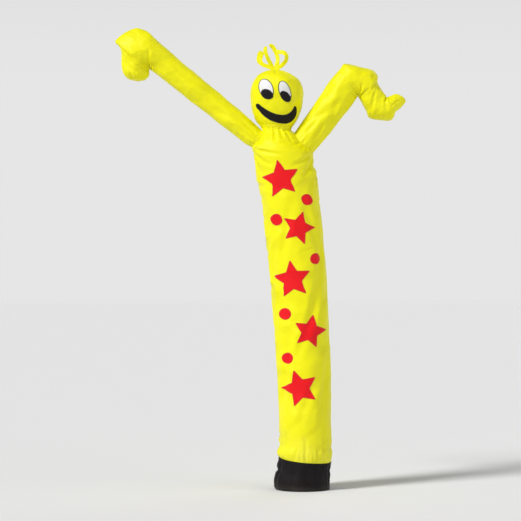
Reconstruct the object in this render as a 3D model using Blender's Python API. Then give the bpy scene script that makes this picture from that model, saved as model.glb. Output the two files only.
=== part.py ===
"""Inflatable air dancer: a sewn nylon tube figure, 3.04 m tall to the top of its raised arm.

Every cloth piece is a thin wall that follows the shape the cloth takes when air fills it. A tube is
described by its hoops, one row each: where the hoop's two edges lie as seen from the front, and how
far it reaches towards the front and the back. X and Z in the tables are metres from the middle of
the base on the floor; -Y is the figure's front.
"""

import math
from collections import namedtuple

import bmesh
import bpy
import numpy as np

# Cloth thicknesses and clearances
CLOTH = 0.0015
SLEEVE_CLOTH = 0.003
PATCH_CLOTH = 0.001
RIBBON_CLOTH = 0.0015
GAP = 0.0003

# The base stands this far to the right of the middle of the whole figure, which is the origin
BASE_X = 0.275

# How many flat sides each round piece has
BODY_SIDES = 32
HEAD_SIDES = 28
ARM_SIDES = 20

# The seam between the black sleeve and the tube lies a little askew
SEAM_PITCH = 0.055

# A hoop that lies level: its left and right edge, its height, and half its depth
Level = namedtuple("Level", "z left right depth")
# A hoop at any slant: its two edges, half its depth, and its rise from the front to the back
Hoop = namedtuple("Hoop", "x1 z1 x2 z2 depth pitch", defaults=(0.0,))
# A grid of points on a tube with their outward directions, and the point that closes its end
Skin = namedtuple("Skin", "points normals tip tip_normal")

SLEEVE = (
    Level(z=0.000, left=-0.175, right=0.181, depth=0.174),
    Level(z=0.010, left=-0.181, right=0.182, depth=0.178),
    Level(z=0.040, left=-0.186, right=0.182, depth=0.180),
    Level(z=0.080, left=-0.184, right=0.183, depth=0.177),
    Level(z=0.108, left=-0.174, right=0.185, depth=0.174),
    Level(z=0.145, left=-0.165, right=0.187, depth=0.175),
)
SEAM_LEFT_X, SEAM_LEFT_Z = -0.154, 0.213
SEAM_RIGHT_X, SEAM_RIGHT_Z = 0.193, 0.182
SEAM_DEPTH = 0.176

BODY = (
    Level(z=0.238, left=-0.158, right=0.192, depth=0.177),
    Level(z=0.278, left=-0.148, right=0.190, depth=0.175),
    Level(z=0.330, left=-0.144, right=0.189, depth=0.173),
    Level(z=0.508, left=-0.147, right=0.187, depth=0.172),
    Level(z=0.667, left=-0.156, right=0.185, depth=0.173),
    Level(z=0.825, left=-0.166, right=0.182, depth=0.174),
    Level(z=0.983, left=-0.173, right=0.177, depth=0.175),
    Level(z=1.142, left=-0.185, right=0.171, depth=0.176),
    Level(z=1.300, left=-0.198, right=0.162, depth=0.177),
    Level(z=1.459, left=-0.213, right=0.152, depth=0.179),
    Level(z=1.617, left=-0.229, right=0.138, depth=0.181),
    Level(z=1.775, left=-0.247, right=0.124, depth=0.183),
    Level(z=1.880, left=-0.259, right=0.111, depth=0.184),
    Level(z=1.960, left=-0.273, right=0.102, depth=0.184),
    Level(z=1.996, left=-0.279, right=0.100, depth=0.183),
    Level(z=2.012, left=-0.287, right=0.098, depth=0.184),
    Level(z=2.075, left=-0.297, right=0.090, depth=0.185),
    Level(z=2.130, left=-0.304, right=0.073, depth=0.184),
    Level(z=2.185, left=-0.310, right=0.070, depth=0.180),
    Level(z=2.224, left=-0.318, right=0.071, depth=0.173),
    Level(z=2.258, left=-0.330, right=0.039, depth=0.160),
    Level(z=2.303, left=-0.302, right=-0.007, depth=0.133),
    Level(z=2.350, left=-0.268, right=-0.053, depth=0.103),
    Level(z=2.364, left=-0.259, right=-0.074, depth=0.092),
    Level(z=2.376, left=-0.261, right=-0.075, depth=0.091),
)
NECK = Level(z=2.392, left=-0.273, right=-0.064, depth=0.096)
HEAD = (
    Level(z=2.422, left=-0.294, right=-0.047, depth=0.109),
    Level(z=2.462, left=-0.312, right=-0.028, depth=0.124),
    Level(z=2.514, left=-0.328, right=-0.010, depth=0.141),
    Level(z=2.567, left=-0.334, right=0.000, depth=0.152),
    Level(z=2.620, left=-0.334, right=0.001, depth=0.157),
    Level(z=2.660, left=-0.327, right=-0.008, depth=0.151),
    Level(z=2.700, left=-0.309, right=-0.030, depth=0.133),
    Level(z=2.726, left=-0.290, right=-0.056, depth=0.112),
    Level(z=2.746, left=-0.260, right=-0.090, depth=0.081),
    Level(z=2.758, left=-0.228, right=-0.127, depth=0.048),
    Level(z=2.763, left=-0.178, right=-0.178, depth=0.0),
)

# Each arm runs from inside the shoulder to the closed end of the hand: upper edge, then lower edge
LEFT_ARM = (
    Hoop(x1=-0.213, z1=2.333, x2=-0.285, z2=2.218, depth=0.066),
    Hoop(x1=-0.269, z1=2.368, x2=-0.335, z2=2.260, depth=0.069),
    Hoop(x1=-0.411, z1=2.490, x2=-0.494, z2=2.380, depth=0.070),
    Hoop(x1=-0.576, z1=2.627, x2=-0.669, z2=2.518, depth=0.073),
    Hoop(x1=-0.741, z1=2.764, x2=-0.837, z2=2.648, depth=0.076),
    Hoop(x1=-0.905, z1=2.906, x2=-0.956, z2=2.741, depth=0.078),
    Hoop(x1=-0.984, z1=2.972, x2=-0.991, z2=2.766, depth=0.080),
    Hoop(x1=-1.042, z1=3.020, x2=-1.000, z2=2.775, depth=0.081),
    Hoop(x1=-1.090, z1=3.042, x2=-1.005, z2=2.773, depth=0.082),
    Hoop(x1=-1.155, z1=3.021, x2=-1.008, z2=2.768, depth=0.082),
    Hoop(x1=-1.208, z1=2.984, x2=-1.010, z2=2.761, depth=0.082),
    Hoop(x1=-1.231, z1=2.947, x2=-1.011, z2=2.753, depth=0.080),
    Hoop(x1=-1.213, z1=2.928, x2=-1.011, z2=2.746, depth=0.079),
    Hoop(x1=-1.196, z1=2.895, x2=-1.011, z2=2.738, depth=0.078),
    Hoop(x1=-1.191, z1=2.845, x2=-1.012, z2=2.731, depth=0.077),
    Hoop(x1=-1.189, z1=2.790, x2=-1.016, z2=2.722, depth=0.075),
    Hoop(x1=-1.178, z1=2.745, x2=-1.026, z2=2.711, depth=0.068),
    Hoop(x1=-1.150, z1=2.713, x2=-1.048, z2=2.700, depth=0.048),
    Hoop(x1=-1.098, z1=2.696, x2=-1.098, z2=2.696, depth=0.0),
)
RIGHT_ARM = (
    Hoop(x1=-0.095, z1=2.290, x2=0.010, z2=2.160, depth=0.086),
    Hoop(x1=-0.051, z1=2.347, x2=0.071, z2=2.225, depth=0.088),
    Hoop(x1=0.009, z1=2.433, x2=0.156, z2=2.325, depth=0.092),
    Hoop(x1=0.101, z1=2.566, x2=0.258, z2=2.452, depth=0.096),
    Hoop(x1=0.191, z1=2.700, x2=0.337, z2=2.553, depth=0.099),
    Hoop(x1=0.256, z1=2.785, x2=0.361, z2=2.584, depth=0.099),
    Hoop(x1=0.302, z1=2.803, x2=0.367, z2=2.590, depth=0.098),
    Hoop(x1=0.388, z1=2.785, x2=0.372, z2=2.588, depth=0.096),
    Hoop(x1=0.470, z1=2.759, x2=0.378, z2=2.579, depth=0.093),
    Hoop(x1=0.496, z1=2.724, x2=0.388, z2=2.561, depth=0.089),
    Hoop(x1=0.494, z1=2.684, x2=0.406, z2=2.530, depth=0.084),
    Hoop(x1=0.522, z1=2.634, x2=0.428, z2=2.491, depth=0.080),
    Hoop(x1=0.551, z1=2.592, x2=0.452, z2=2.448, depth=0.079),
    Hoop(x1=0.561, z1=2.586, x2=0.507, z2=2.436, depth=0.078),
    Hoop(x1=0.572, z1=2.587, x2=0.583, z2=2.434, depth=0.073),
    Hoop(x1=0.589, z1=2.594, x2=0.600, z2=2.449, depth=0.069),
    Hoop(x1=0.612, z1=2.603, x2=0.612, z2=2.486, depth=0.060),
    Hoop(x1=0.650, z1=2.595, x2=0.643, z2=2.512, depth=0.045),
    Hoop(x1=0.676, z1=2.574, x2=0.672, z2=2.543, depth=0.018),
    Hoop(x1=0.683, z1=2.560, x2=0.683, z2=2.560, depth=0.0),
)
SHOULDER_HOOPS = 4

# Ribbons on the head: the middle line, how far forward it lies, and the ribbon's width and twist
Bend = namedtuple("Bend", "x z y width twist")
RIBBONS = {
    "hair_ribbon_1": (
        Bend(x=-0.178, z=2.750, y=0.009, width=0.018, twist=0),
        Bend(x=-0.196, z=2.774, y=0.010, width=0.019, twist=0),
        Bend(x=-0.226, z=2.790, y=0.018, width=0.021, twist=10),
        Bend(x=-0.259, z=2.807, y=0.032, width=0.030, twist=22),
        Bend(x=-0.280, z=2.829, y=0.042, width=0.040, twist=30),
        Bend(x=-0.280, z=2.856, y=0.044, width=0.039, twist=25),
        Bend(x=-0.269, z=2.877, y=0.038, width=0.031, twist=12),
        Bend(x=-0.248, z=2.881, y=0.028, width=0.026, twist=0),
    ),
    "hair_ribbon_2": (
        Bend(x=-0.180, z=2.750, y=0.003, width=0.018, twist=0),
        Bend(x=-0.192, z=2.776, y=0.002, width=0.019, twist=0),
        Bend(x=-0.205, z=2.800, y=-0.002, width=0.020, twist=-8),
        Bend(x=-0.223, z=2.833, y=-0.010, width=0.020, twist=-20),
        Bend(x=-0.237, z=2.866, y=-0.018, width=0.019, twist=-24),
        Bend(x=-0.245, z=2.895, y=-0.020, width=0.019, twist=-15),
        Bend(x=-0.239, z=2.917, y=-0.016, width=0.016, twist=0),
    ),
    "hair_ribbon_3": (
        Bend(x=-0.172, z=2.750, y=-0.003, width=0.018, twist=0),
        Bend(x=-0.172, z=2.775, y=-0.003, width=0.020, twist=0),
        Bend(x=-0.167, z=2.802, y=0.000, width=0.022, twist=8),
        Bend(x=-0.161, z=2.828, y=0.006, width=0.021, twist=20),
        Bend(x=-0.167, z=2.866, y=0.014, width=0.022, twist=24),
        Bend(x=-0.181, z=2.898, y=0.018, width=0.021, twist=16),
        Bend(x=-0.199, z=2.924, y=0.016, width=0.020, twist=6),
        Bend(x=-0.216, z=2.932, y=0.012, width=0.014, twist=0),
    ),
    "hair_ribbon_4": (
        Bend(x=-0.176, z=2.750, y=-0.009, width=0.018, twist=0),
        Bend(x=-0.160, z=2.775, y=-0.010, width=0.020, twist=0),
        Bend(x=-0.127, z=2.801, y=-0.018, width=0.021, twist=-10),
        Bend(x=-0.106, z=2.829, y=-0.030, width=0.021, twist=-24),
        Bend(x=-0.105, z=2.857, y=-0.036, width=0.022, twist=-26),
        Bend(x=-0.120, z=2.875, y=-0.034, width=0.022, twist=-14),
        Bend(x=-0.150, z=2.882, y=-0.026, width=0.020, twist=-5),
        Bend(x=-0.174, z=2.888, y=-0.018, width=0.017, twist=0),
    ),
}
RIBBON_STEPS = 2

# Face pieces: ovals by their middle, half sizes and lean, and the mouth by its two edges
Oval = namedtuple("Oval", "x z half_long half_short lean")
EYES = {
    "eye_white_left": Oval(x=-0.238, z=2.627, half_long=0.070, half_short=0.048, lean=105),
    "eye_white_right": Oval(x=-0.113, z=2.612, half_long=0.071, half_short=0.042, lean=106),
}
PUPILS = {
    "pupil_left": Oval(x=-0.231, z=2.593, half_long=0.040, half_short=0.031, lean=-26),
    "pupil_right": Oval(x=-0.109, z=2.577, half_long=0.039, half_short=0.028, lean=-44),
}
OVAL_SIDES = 20
MOUTH_UPPER = (
    (-0.298, 2.536),
    (-0.262, 2.512),
    (-0.214, 2.482),
    (-0.160, 2.462),
    (-0.110, 2.463),
    (-0.076, 2.483),
    (-0.058, 2.505),
    (-0.049, 2.522),
)
MOUTH_LOWER = (
    (-0.042, 2.519),
    (-0.038, 2.495),
    (-0.043, 2.461),
    (-0.064, 2.431),
    (-0.098, 2.410),
    (-0.140, 2.408),
    (-0.196, 2.423),
    (-0.242, 2.450),
    (-0.279, 2.490),
    (-0.302, 2.528),
)

# Sewn-on trim down the front: five-pointed stars set zigzag, with round spots between them
Star = namedtuple("Star", "x z reach lean")
STARS = {
    "star_1": Star(x=-0.140, z=2.040, reach=0.122, lean=12),
    "star_2": Star(x=-0.030, z=1.720, reach=0.108, lean=-16),
    "star_3": Star(x=-0.068, z=1.385, reach=0.122, lean=8),
    "star_4": Star(x=0.045, z=1.045, reach=0.108, lean=-12),
    "star_5": Star(x=-0.018, z=0.675, reach=0.120, lean=18),
}
STAR_POINTS = 5
STAR_WAIST = 0.50
SPOTS = {
    "spot_1": Oval(x=0.030, z=1.905, half_long=0.034, half_short=0.034, lean=0),
    "spot_2": Oval(x=-0.172, z=1.775, half_long=0.036, half_short=0.036, lean=0),
    "spot_3": Oval(x=0.082, z=1.520, half_long=0.034, half_short=0.034, lean=0),
    "spot_4": Oval(x=-0.118, z=1.160, half_long=0.036, half_short=0.036, lean=0),
    "spot_5": Oval(x=-0.098, z=0.870, half_long=0.034, half_short=0.034, lean=0),
}
SPOT_SIDES = 16

YELLOW = (1.0, 0.93, 0.0, 1.0)
BLACK = (0.012, 0.010, 0.012, 1.0)
WHITE = (0.9, 0.9, 0.9, 1.0)
RED = (0.9, 0.01, 0.015, 1.0)


def clear_scene():
    for old in list(bpy.data.objects):
        bpy.data.objects.remove(old, do_unlink=True)


def material(name, colour, roughness):
    made = bpy.data.materials.new(name)
    made.use_nodes = True
    shader = made.node_tree.nodes["Principled BSDF"]
    shader.inputs["Base Color"].default_value = colour
    shader.inputs["Roughness"].default_value = roughness
    shader.inputs["Metallic"].default_value = 0.0
    return made


def add_object(name, bm, finish=None):
    """A new object from a bmesh, in triangles, with every face turned outwards."""
    bmesh.ops.recalc_face_normals(bm, faces=bm.faces)
    bmesh.ops.triangulate(bm, faces=bm.faces)
    mesh = bpy.data.meshes.new(name)
    bm.to_mesh(mesh)
    bm.free()
    obj = bpy.data.objects.new(name, mesh)
    bpy.context.collection.objects.link(obj)
    if finish is not None:
        mesh.materials.append(finish)
    mesh.shade_smooth()
    mesh.set_sharp_from_angle(angle=math.radians(35))
    return obj


def as_guide(obj):
    """A shape that only cuts or bounds others."""
    obj.hide_render = True
    obj.display_type = "WIRE"
    return obj


def boolean(obj, other, operation):
    step = obj.modifiers.new(f"{operation.title()} {other.name}", "BOOLEAN")
    step.operation = operation
    step.solver = "EXACT"
    step.object = other


def hoop_of(level):
    return Hoop(level.left, level.z, level.right, level.z, level.depth)


def seam_hoop(shift):
    """The slanting hoop where sleeve and tube meet, moved up by shift."""
    return Hoop(
        SEAM_LEFT_X, SEAM_LEFT_Z + shift, SEAM_RIGHT_X, SEAM_RIGHT_Z + shift, SEAM_DEPTH, SEAM_PITCH
    )


def unit(vectors):
    return vectors / np.linalg.norm(vectors, axis=-1, keepdims=True)


def skin(hoops, sides):
    """Points around every hoop, and the direction in which the cloth faces at each."""
    table = np.array(hoops)
    tip = tip_normal = None
    if table[-1, 4] == 0:
        tip = np.array([table[-1, 0] + BASE_X, 0.0, table[-1, 1]])
        table = table[:-1]
    turn = 2 * math.pi * np.arange(sides) / sides
    across = (table[:, 2:4] - table[:, 0:2]) / 2
    middle = (table[:, 2:4] + table[:, 0:2]) / 2
    points = np.empty((len(table), sides, 3))
    points[..., 0] = BASE_X + middle[:, :1] + across[:, :1] * np.cos(turn)
    points[..., 1] = table[:, 4:5] * np.sin(turn)
    points[..., 2] = middle[:, 1:] + across[:, 1:] * np.cos(turn) + table[:, 5:6] * points[..., 1]
    centres = points.mean(axis=1, keepdims=True)
    around = np.roll(points, -1, axis=1) - np.roll(points, 1, axis=1)
    normals = unit(np.cross(around, np.gradient(points, axis=0)))
    facing = (normals * (points - centres)).sum(axis=-1, keepdims=True)
    normals *= np.sign(facing)
    for end in (0, -1):
        axis = unit(np.cross(points[end] - centres[end], around[end]).mean(axis=0))
        normals[end] = unit(normals[end] - np.outer(normals[end] @ axis, axis))
    if tip is not None:
        tip_normal = unit(tip - centres[-1, 0])
    return Skin(points, normals, tip, tip_normal)


def layer(bm, cloth, offset):
    """One face of the cloth: the skin's points moved outwards by offset, joined up."""
    rings = []
    for ring, directions in zip(cloth.points, cloth.normals):
        rings.append([bm.verts.new(p + n * offset) for p, n in zip(ring, directions)])
    for lower, upper in zip(rings, rings[1:]):
        join_rings(bm, lower, upper)
    if cloth.tip is not None:
        point = bm.verts.new(cloth.tip + cloth.tip_normal * offset)
        last = rings[-1]
        for one, other in zip(last, last[1:] + last[:1]):
            bm.faces.new((one, other, point))
    return rings


def join_rings(bm, lower, upper):
    for i in range(len(lower)):
        k = (i + 1) % len(lower)
        bm.faces.new((lower[i], lower[k], upper[k], upper[i]))


def wall(name, cloth, inside, outside, finish=None):
    """Cloth of real thickness between two offsets of its skin, open where the tube is open."""
    bm = bmesh.new()
    outer = layer(bm, cloth, outside)
    inner = layer(bm, cloth, inside)
    join_rings(bm, outer[0], inner[0])
    if cloth.tip is None:
        join_rings(bm, outer[-1], inner[-1])
    return add_object(name, bm, finish)


def filled(name, cloth, offset):
    """The whole space inside a skin, as a guide that cuts others."""
    bm = bmesh.new()
    rings = layer(bm, cloth, offset)
    bm.faces.new(rings[0])
    if cloth.tip is None:
        bm.faces.new(rings[-1])
    return as_guide(add_object(name, bm))


def smooth_rows(rows, steps):
    """Rows read from a smooth curve through the given ones, steps to each stretch."""
    table = np.array(rows, float)
    padded = np.vstack([2 * table[0] - table[1], table, 2 * table[-1] - table[-2]])
    found = []
    for before, start, end, after in zip(padded, padded[1:], padded[2:], padded[3:]):
        for t in np.arange(steps) / steps:
            found.append(
                start
                + (end - before) * t / 2
                + (2 * before - 5 * start + 4 * end - after) * t**2 / 2
                + (3 * start - before - 3 * end + after) * t**3 / 2
            )
    return np.array(found + [table[-1]])


def ribbon(name, bends, finish):
    """A flat strip along its bends, its face towards the front apart from the twist."""
    rows = smooth_rows(bends, RIBBON_STEPS)
    points = np.stack([BASE_X + rows[:, 0], rows[:, 2], rows[:, 1]], axis=1)
    along = unit(np.gradient(points, axis=0))
    flat = unit(np.cross(along, (0.0, 1.0, 0.0)))
    face = unit(np.cross(flat, along))
    twist = np.radians(rows[:, 4:5])
    side = flat * np.cos(twist) + face * np.sin(twist)
    out = np.cross(side, along)
    bm = bmesh.new()
    rings = []
    for point, wide, thick, width in zip(points, side, out, rows[:, 3]):
        corners = ((-1, -1), (1, -1), (1, 1), (-1, 1))
        ring = [point + wide * i * width / 2 + thick * k * RIBBON_CLOTH / 2 for i, k in corners]
        rings.append([bm.verts.new(corner) for corner in ring])
    for lower, upper in zip(rings, rings[1:]):
        join_rings(bm, lower, upper)
    bm.faces.new(rings[0])
    bm.faces.new(rings[-1])
    return add_object(name, bm, finish)


def oval_outline(oval, sides):
    lean = math.radians(oval.lean)
    outline = []
    for i in range(sides):
        turn = 2 * math.pi * i / sides
        along, across = oval.half_long * math.cos(turn), oval.half_short * math.sin(turn)
        x = along * math.cos(lean) - across * math.sin(lean)
        z = along * math.sin(lean) + across * math.cos(lean)
        outline.append((oval.x + x, oval.z + z))
    return outline


def star_outline(star):
    outline = []
    for i in range(2 * STAR_POINTS):
        turn = math.radians(90 + star.lean) + math.pi * i / STAR_POINTS
        reach = star.reach * (STAR_WAIST if i % 2 else 1.0)
        outline.append((star.x + reach * math.cos(turn), star.z + reach * math.sin(turn)))
    return outline


def patch(name, outline, sheet, finish):
    """A piece of the given outline, cut from a sheet that lies on the cloth, on its front side."""
    front, behind = -0.5, -0.01
    bm = bmesh.new()
    near = [bm.verts.new((BASE_X + x, front, z)) for x, z in outline]
    far = [bm.verts.new((BASE_X + x, behind, z)) for x, z in outline]
    join_rings(bm, near, far)
    bm.faces.new(near)
    bm.faces.new(far)
    piece = add_object(name, bm, finish)
    boolean(piece, sheet, "INTERSECT")
    return piece


def build_base(black):
    hoops = [hoop_of(level) for level in SLEEVE] + [seam_hoop(-GAP / 2)]
    wall("base_sleeve", skin(hoops, BODY_SIDES), -SLEEVE_CLOTH, 0.0, black)


def build_figure(yellow):
    """The tube, the arms sewn into holes in its shoulders, and the head on its neck."""
    body_hoops = [seam_hoop(GAP / 2)] + [hoop_of(level) for level in BODY + (NECK,)]
    body_skin = skin(body_hoops, BODY_SIDES)
    body = wall("body_tube", body_skin, -CLOTH, 0.0, yellow)
    body_space = filled("guide_body", body_skin, GAP)
    for name, hoops in (("arm_left", LEFT_ARM), ("arm_right", RIGHT_ARM)):
        arm = wall(name, skin(hoops, ARM_SIDES), -CLOTH, 0.0, yellow)
        boolean(arm, body_space, "DIFFERENCE")
        bore = filled(f"guide_{name}", skin(hoops[:SHOULDER_HOOPS], ARM_SIDES), -CLOTH)
        boolean(body, bore, "DIFFERENCE")
    head_hoops = [hoop_of(NECK._replace(z=NECK.z + GAP))] + [hoop_of(level) for level in HEAD]
    head_skin = skin(head_hoops, HEAD_SIDES)
    wall("head", head_skin, -CLOTH, 0.0, yellow)
    return body_skin, head_skin


def build_hair(head_skin, yellow):
    head_space = filled("guide_head", head_skin, GAP)
    for name, bends in RIBBONS.items():
        boolean(ribbon(name, bends, yellow), head_space, "DIFFERENCE")


def build_face(head_skin, black, white):
    """White ovals with black pupils over them, and the mouth, each sewn to the head."""
    first = as_guide(wall("guide_face_1", head_skin, GAP, GAP + PATCH_CLOTH))
    over = 2 * GAP + PATCH_CLOTH
    second = as_guide(wall("guide_face_2", head_skin, over, over + PATCH_CLOTH))
    for name, oval in EYES.items():
        patch(name, oval_outline(oval, OVAL_SIDES), first, white)
    for name, oval in PUPILS.items():
        patch(name, oval_outline(oval, OVAL_SIDES), second, black)
    patch("mouth", MOUTH_UPPER + MOUTH_LOWER, first, black)


def build_trim(body_skin, red):
    sheet = as_guide(wall("guide_trim", body_skin, GAP, GAP + PATCH_CLOTH))
    for name, star in STARS.items():
        patch(name, star_outline(star), sheet, red)
    for name, oval in SPOTS.items():
        patch(name, oval_outline(oval, SPOT_SIDES), sheet, red)


def main():
    clear_scene()
    yellow = material("yellow nylon", YELLOW, 0.5)
    black = material("black coated cloth", BLACK, 0.6)
    white = material("white nylon", WHITE, 0.5)
    red = material("red nylon", RED, 0.5)
    build_base(black)
    body_skin, head_skin = build_figure(yellow)
    build_hair(head_skin, yellow)
    build_face(head_skin, black, white)
    build_trim(body_skin, red)


main()
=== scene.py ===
"""Inflatable air dancer, a sewn nylon tube figure that air holds up: its finished cloth and its stage.

Every tube is a fine grid of points round and along its cloth, read from a short table of hoops. The
tables say the same as those of the solids, give or take a few millimetres. The cloth's fullness, its
creases, the gathers beside its seams and a slow unevenness are then worked into that grid, and the trim,
seams and stitches are laid on it. X and Z in the tables are metres from the middle of the base on the
floor; -Y is the figure's front.
"""

import math
from collections import namedtuple
from functools import lru_cache

import bpy
import numpy as np
from bpy.props import FloatProperty, FloatVectorProperty, PointerProperty
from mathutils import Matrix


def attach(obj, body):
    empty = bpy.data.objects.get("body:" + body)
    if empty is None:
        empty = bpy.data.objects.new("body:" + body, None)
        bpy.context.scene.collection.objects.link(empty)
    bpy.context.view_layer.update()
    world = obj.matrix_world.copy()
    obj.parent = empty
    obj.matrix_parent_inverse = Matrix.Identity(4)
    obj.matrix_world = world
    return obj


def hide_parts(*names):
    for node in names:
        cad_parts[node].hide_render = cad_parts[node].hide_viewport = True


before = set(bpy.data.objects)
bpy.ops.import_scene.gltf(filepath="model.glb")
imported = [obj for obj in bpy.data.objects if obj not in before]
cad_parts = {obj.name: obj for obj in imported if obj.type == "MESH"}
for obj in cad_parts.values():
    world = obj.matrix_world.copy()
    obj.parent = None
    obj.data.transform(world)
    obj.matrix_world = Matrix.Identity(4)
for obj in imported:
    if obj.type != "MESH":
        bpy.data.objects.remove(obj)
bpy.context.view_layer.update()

bl_info = {
    "name": "Air dancer",
    "version": (1, 0, 0),
    "blender": (4, 5, 0),
    "location": "3D View > Sidebar > Air dancer",
    "description": "Builds a tall inflated tube figure of sewn nylon, piece by piece, and its stage",
    "category": "Add Mesh",
}

BODY = "root"

# The base stands this far to the right of the middle of the whole figure, which is the origin
BASE_X = 0.275

# Driving tables -----------------------------------------------------------------------------------

# A hoop that lies level: its height, its left and right edge, and half its depth
Level = namedtuple("Level", "z left right depth")
# A hoop at any slant: its two edges, half its depth, and its rise from the front to the back
Hoop = namedtuple("Hoop", "x1 z1 x2 z2 depth pitch", defaults=(0.0,))


def rows_of(kind, *rows):
    """A table whose columns are named by the kind of its rows."""
    return tuple(kind(*row) for row in rows)


# The slanting seam of the sleeve and the tube
SLEEVE_SEAM = Hoop(x1=-0.154, z1=0.213, x2=0.193, z2=0.182, depth=0.176, pitch=0.055)
SLEEVE = rows_of(
    Level,
    (0.000, -0.175, 0.181, 0.174),
    (0.010, -0.181, 0.182, 0.178),
    (0.040, -0.186, 0.182, 0.180),
    (0.080, -0.184, 0.183, 0.177),
    (0.108, -0.174, 0.185, 0.174),
    (0.145, -0.165, 0.187, 0.175),
)
TUBE = rows_of(
    Level,
    (0.238, -0.158, 0.192, 0.177),
    (0.278, -0.148, 0.190, 0.175),
    (0.330, -0.144, 0.189, 0.173),
    (0.508, -0.147, 0.187, 0.172),
    (0.667, -0.156, 0.185, 0.173),
    (0.825, -0.166, 0.182, 0.174),
    (0.983, -0.173, 0.177, 0.175),
    (1.142, -0.181, 0.171, 0.176),
    (1.300, -0.195, 0.162, 0.177),
    (1.459, -0.213, 0.152, 0.179),
    (1.617, -0.229, 0.143, 0.181),
    (1.775, -0.247, 0.127, 0.183),
    (1.880, -0.259, 0.111, 0.184),
    (1.960, -0.278, 0.102, 0.184),
    (1.996, -0.285, 0.100, 0.183),
    (2.012, -0.291, 0.098, 0.184),
    (2.075, -0.302, 0.090, 0.185),
    (2.130, -0.304, 0.072, 0.184),
    (2.185, -0.310, 0.069, 0.180),
    (2.224, -0.318, 0.071, 0.173),
    (2.258, -0.330, 0.039, 0.160),
    (2.303, -0.302, -0.007, 0.133),
    (2.350, -0.268, -0.053, 0.103),
    (2.364, -0.259, -0.074, 0.092),
    (2.376, -0.261, -0.075, 0.091),
)
NECK = Level(z=2.392, left=-0.273, right=-0.064, depth=0.096)
HEAD = rows_of(
    Level,
    (2.422, -0.294, -0.047, 0.109),
    (2.462, -0.312, -0.028, 0.124),
    (2.514, -0.328, -0.010, 0.141),
    (2.567, -0.334, 0.000, 0.152),
    (2.620, -0.334, 0.001, 0.157),
    (2.660, -0.327, -0.008, 0.151),
    (2.700, -0.309, -0.030, 0.133),
    (2.726, -0.292, -0.060, 0.112),
    (2.746, -0.263, -0.094, 0.081),
    (2.758, -0.231, -0.132, 0.048),
    (2.763, -0.178, -0.178, 0.0),
)

# Each arm runs from inside the shoulder to the closed end of the hand: upper edge, then lower edge
LEFT_ARM = rows_of(
    Hoop,
    (-0.213, 2.333, -0.285, 2.218, 0.066),
    (-0.269, 2.368, -0.335, 2.260, 0.069),
    (-0.411, 2.490, -0.494, 2.380, 0.070),
    (-0.576, 2.627, -0.669, 2.518, 0.073),
    (-0.741, 2.764, -0.837, 2.648, 0.076),
    (-0.905, 2.906, -0.956, 2.741, 0.078),
    (-0.982, 2.976, -0.991, 2.766, 0.080),
    (-1.039, 3.022, -1.000, 2.775, 0.081),
    (-1.090, 3.036, -1.005, 2.773, 0.082),
    (-1.154, 3.016, -1.008, 2.768, 0.082),
    (-1.206, 2.980, -1.010, 2.761, 0.082),
    (-1.231, 2.947, -1.011, 2.753, 0.080),
    (-1.213, 2.928, -1.011, 2.746, 0.079),
    (-1.196, 2.895, -1.011, 2.738, 0.078),
    (-1.191, 2.845, -1.012, 2.731, 0.077),
    (-1.189, 2.790, -1.016, 2.722, 0.075),
    (-1.178, 2.745, -1.026, 2.711, 0.068),
    (-1.150, 2.713, -1.048, 2.700, 0.048),
    (-1.098, 2.696, -1.098, 2.696, 0.0),
)
RIGHT_ARM = rows_of(
    Hoop,
    (-0.095, 2.290, 0.010, 2.160, 0.086),
    (-0.051, 2.347, 0.075, 2.221, 0.088),
    (0.009, 2.433, 0.160, 2.321, 0.092),
    (0.101, 2.566, 0.261, 2.450, 0.096),
    (0.191, 2.700, 0.340, 2.551, 0.099),
    (0.256, 2.778, 0.361, 2.584, 0.099),
    (0.275, 2.804, 0.365, 2.589, 0.098),
    (0.312, 2.801, 0.368, 2.590, 0.098),
    (0.388, 2.782, 0.372, 2.588, 0.096),
    (0.470, 2.758, 0.378, 2.579, 0.093),
    (0.496, 2.724, 0.388, 2.561, 0.089),
    (0.494, 2.684, 0.406, 2.530, 0.084),
    (0.522, 2.634, 0.428, 2.491, 0.080),
    (0.551, 2.592, 0.452, 2.448, 0.079),
    (0.561, 2.586, 0.507, 2.436, 0.078),
    (0.572, 2.587, 0.583, 2.434, 0.073),
    (0.589, 2.594, 0.600, 2.449, 0.069),
    (0.612, 2.603, 0.612, 2.486, 0.060),
    (0.650, 2.595, 0.643, 2.512, 0.045),
    (0.676, 2.574, 0.672, 2.543, 0.018),
    (0.683, 2.560, 0.683, 2.560, 0.0),
)

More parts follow.
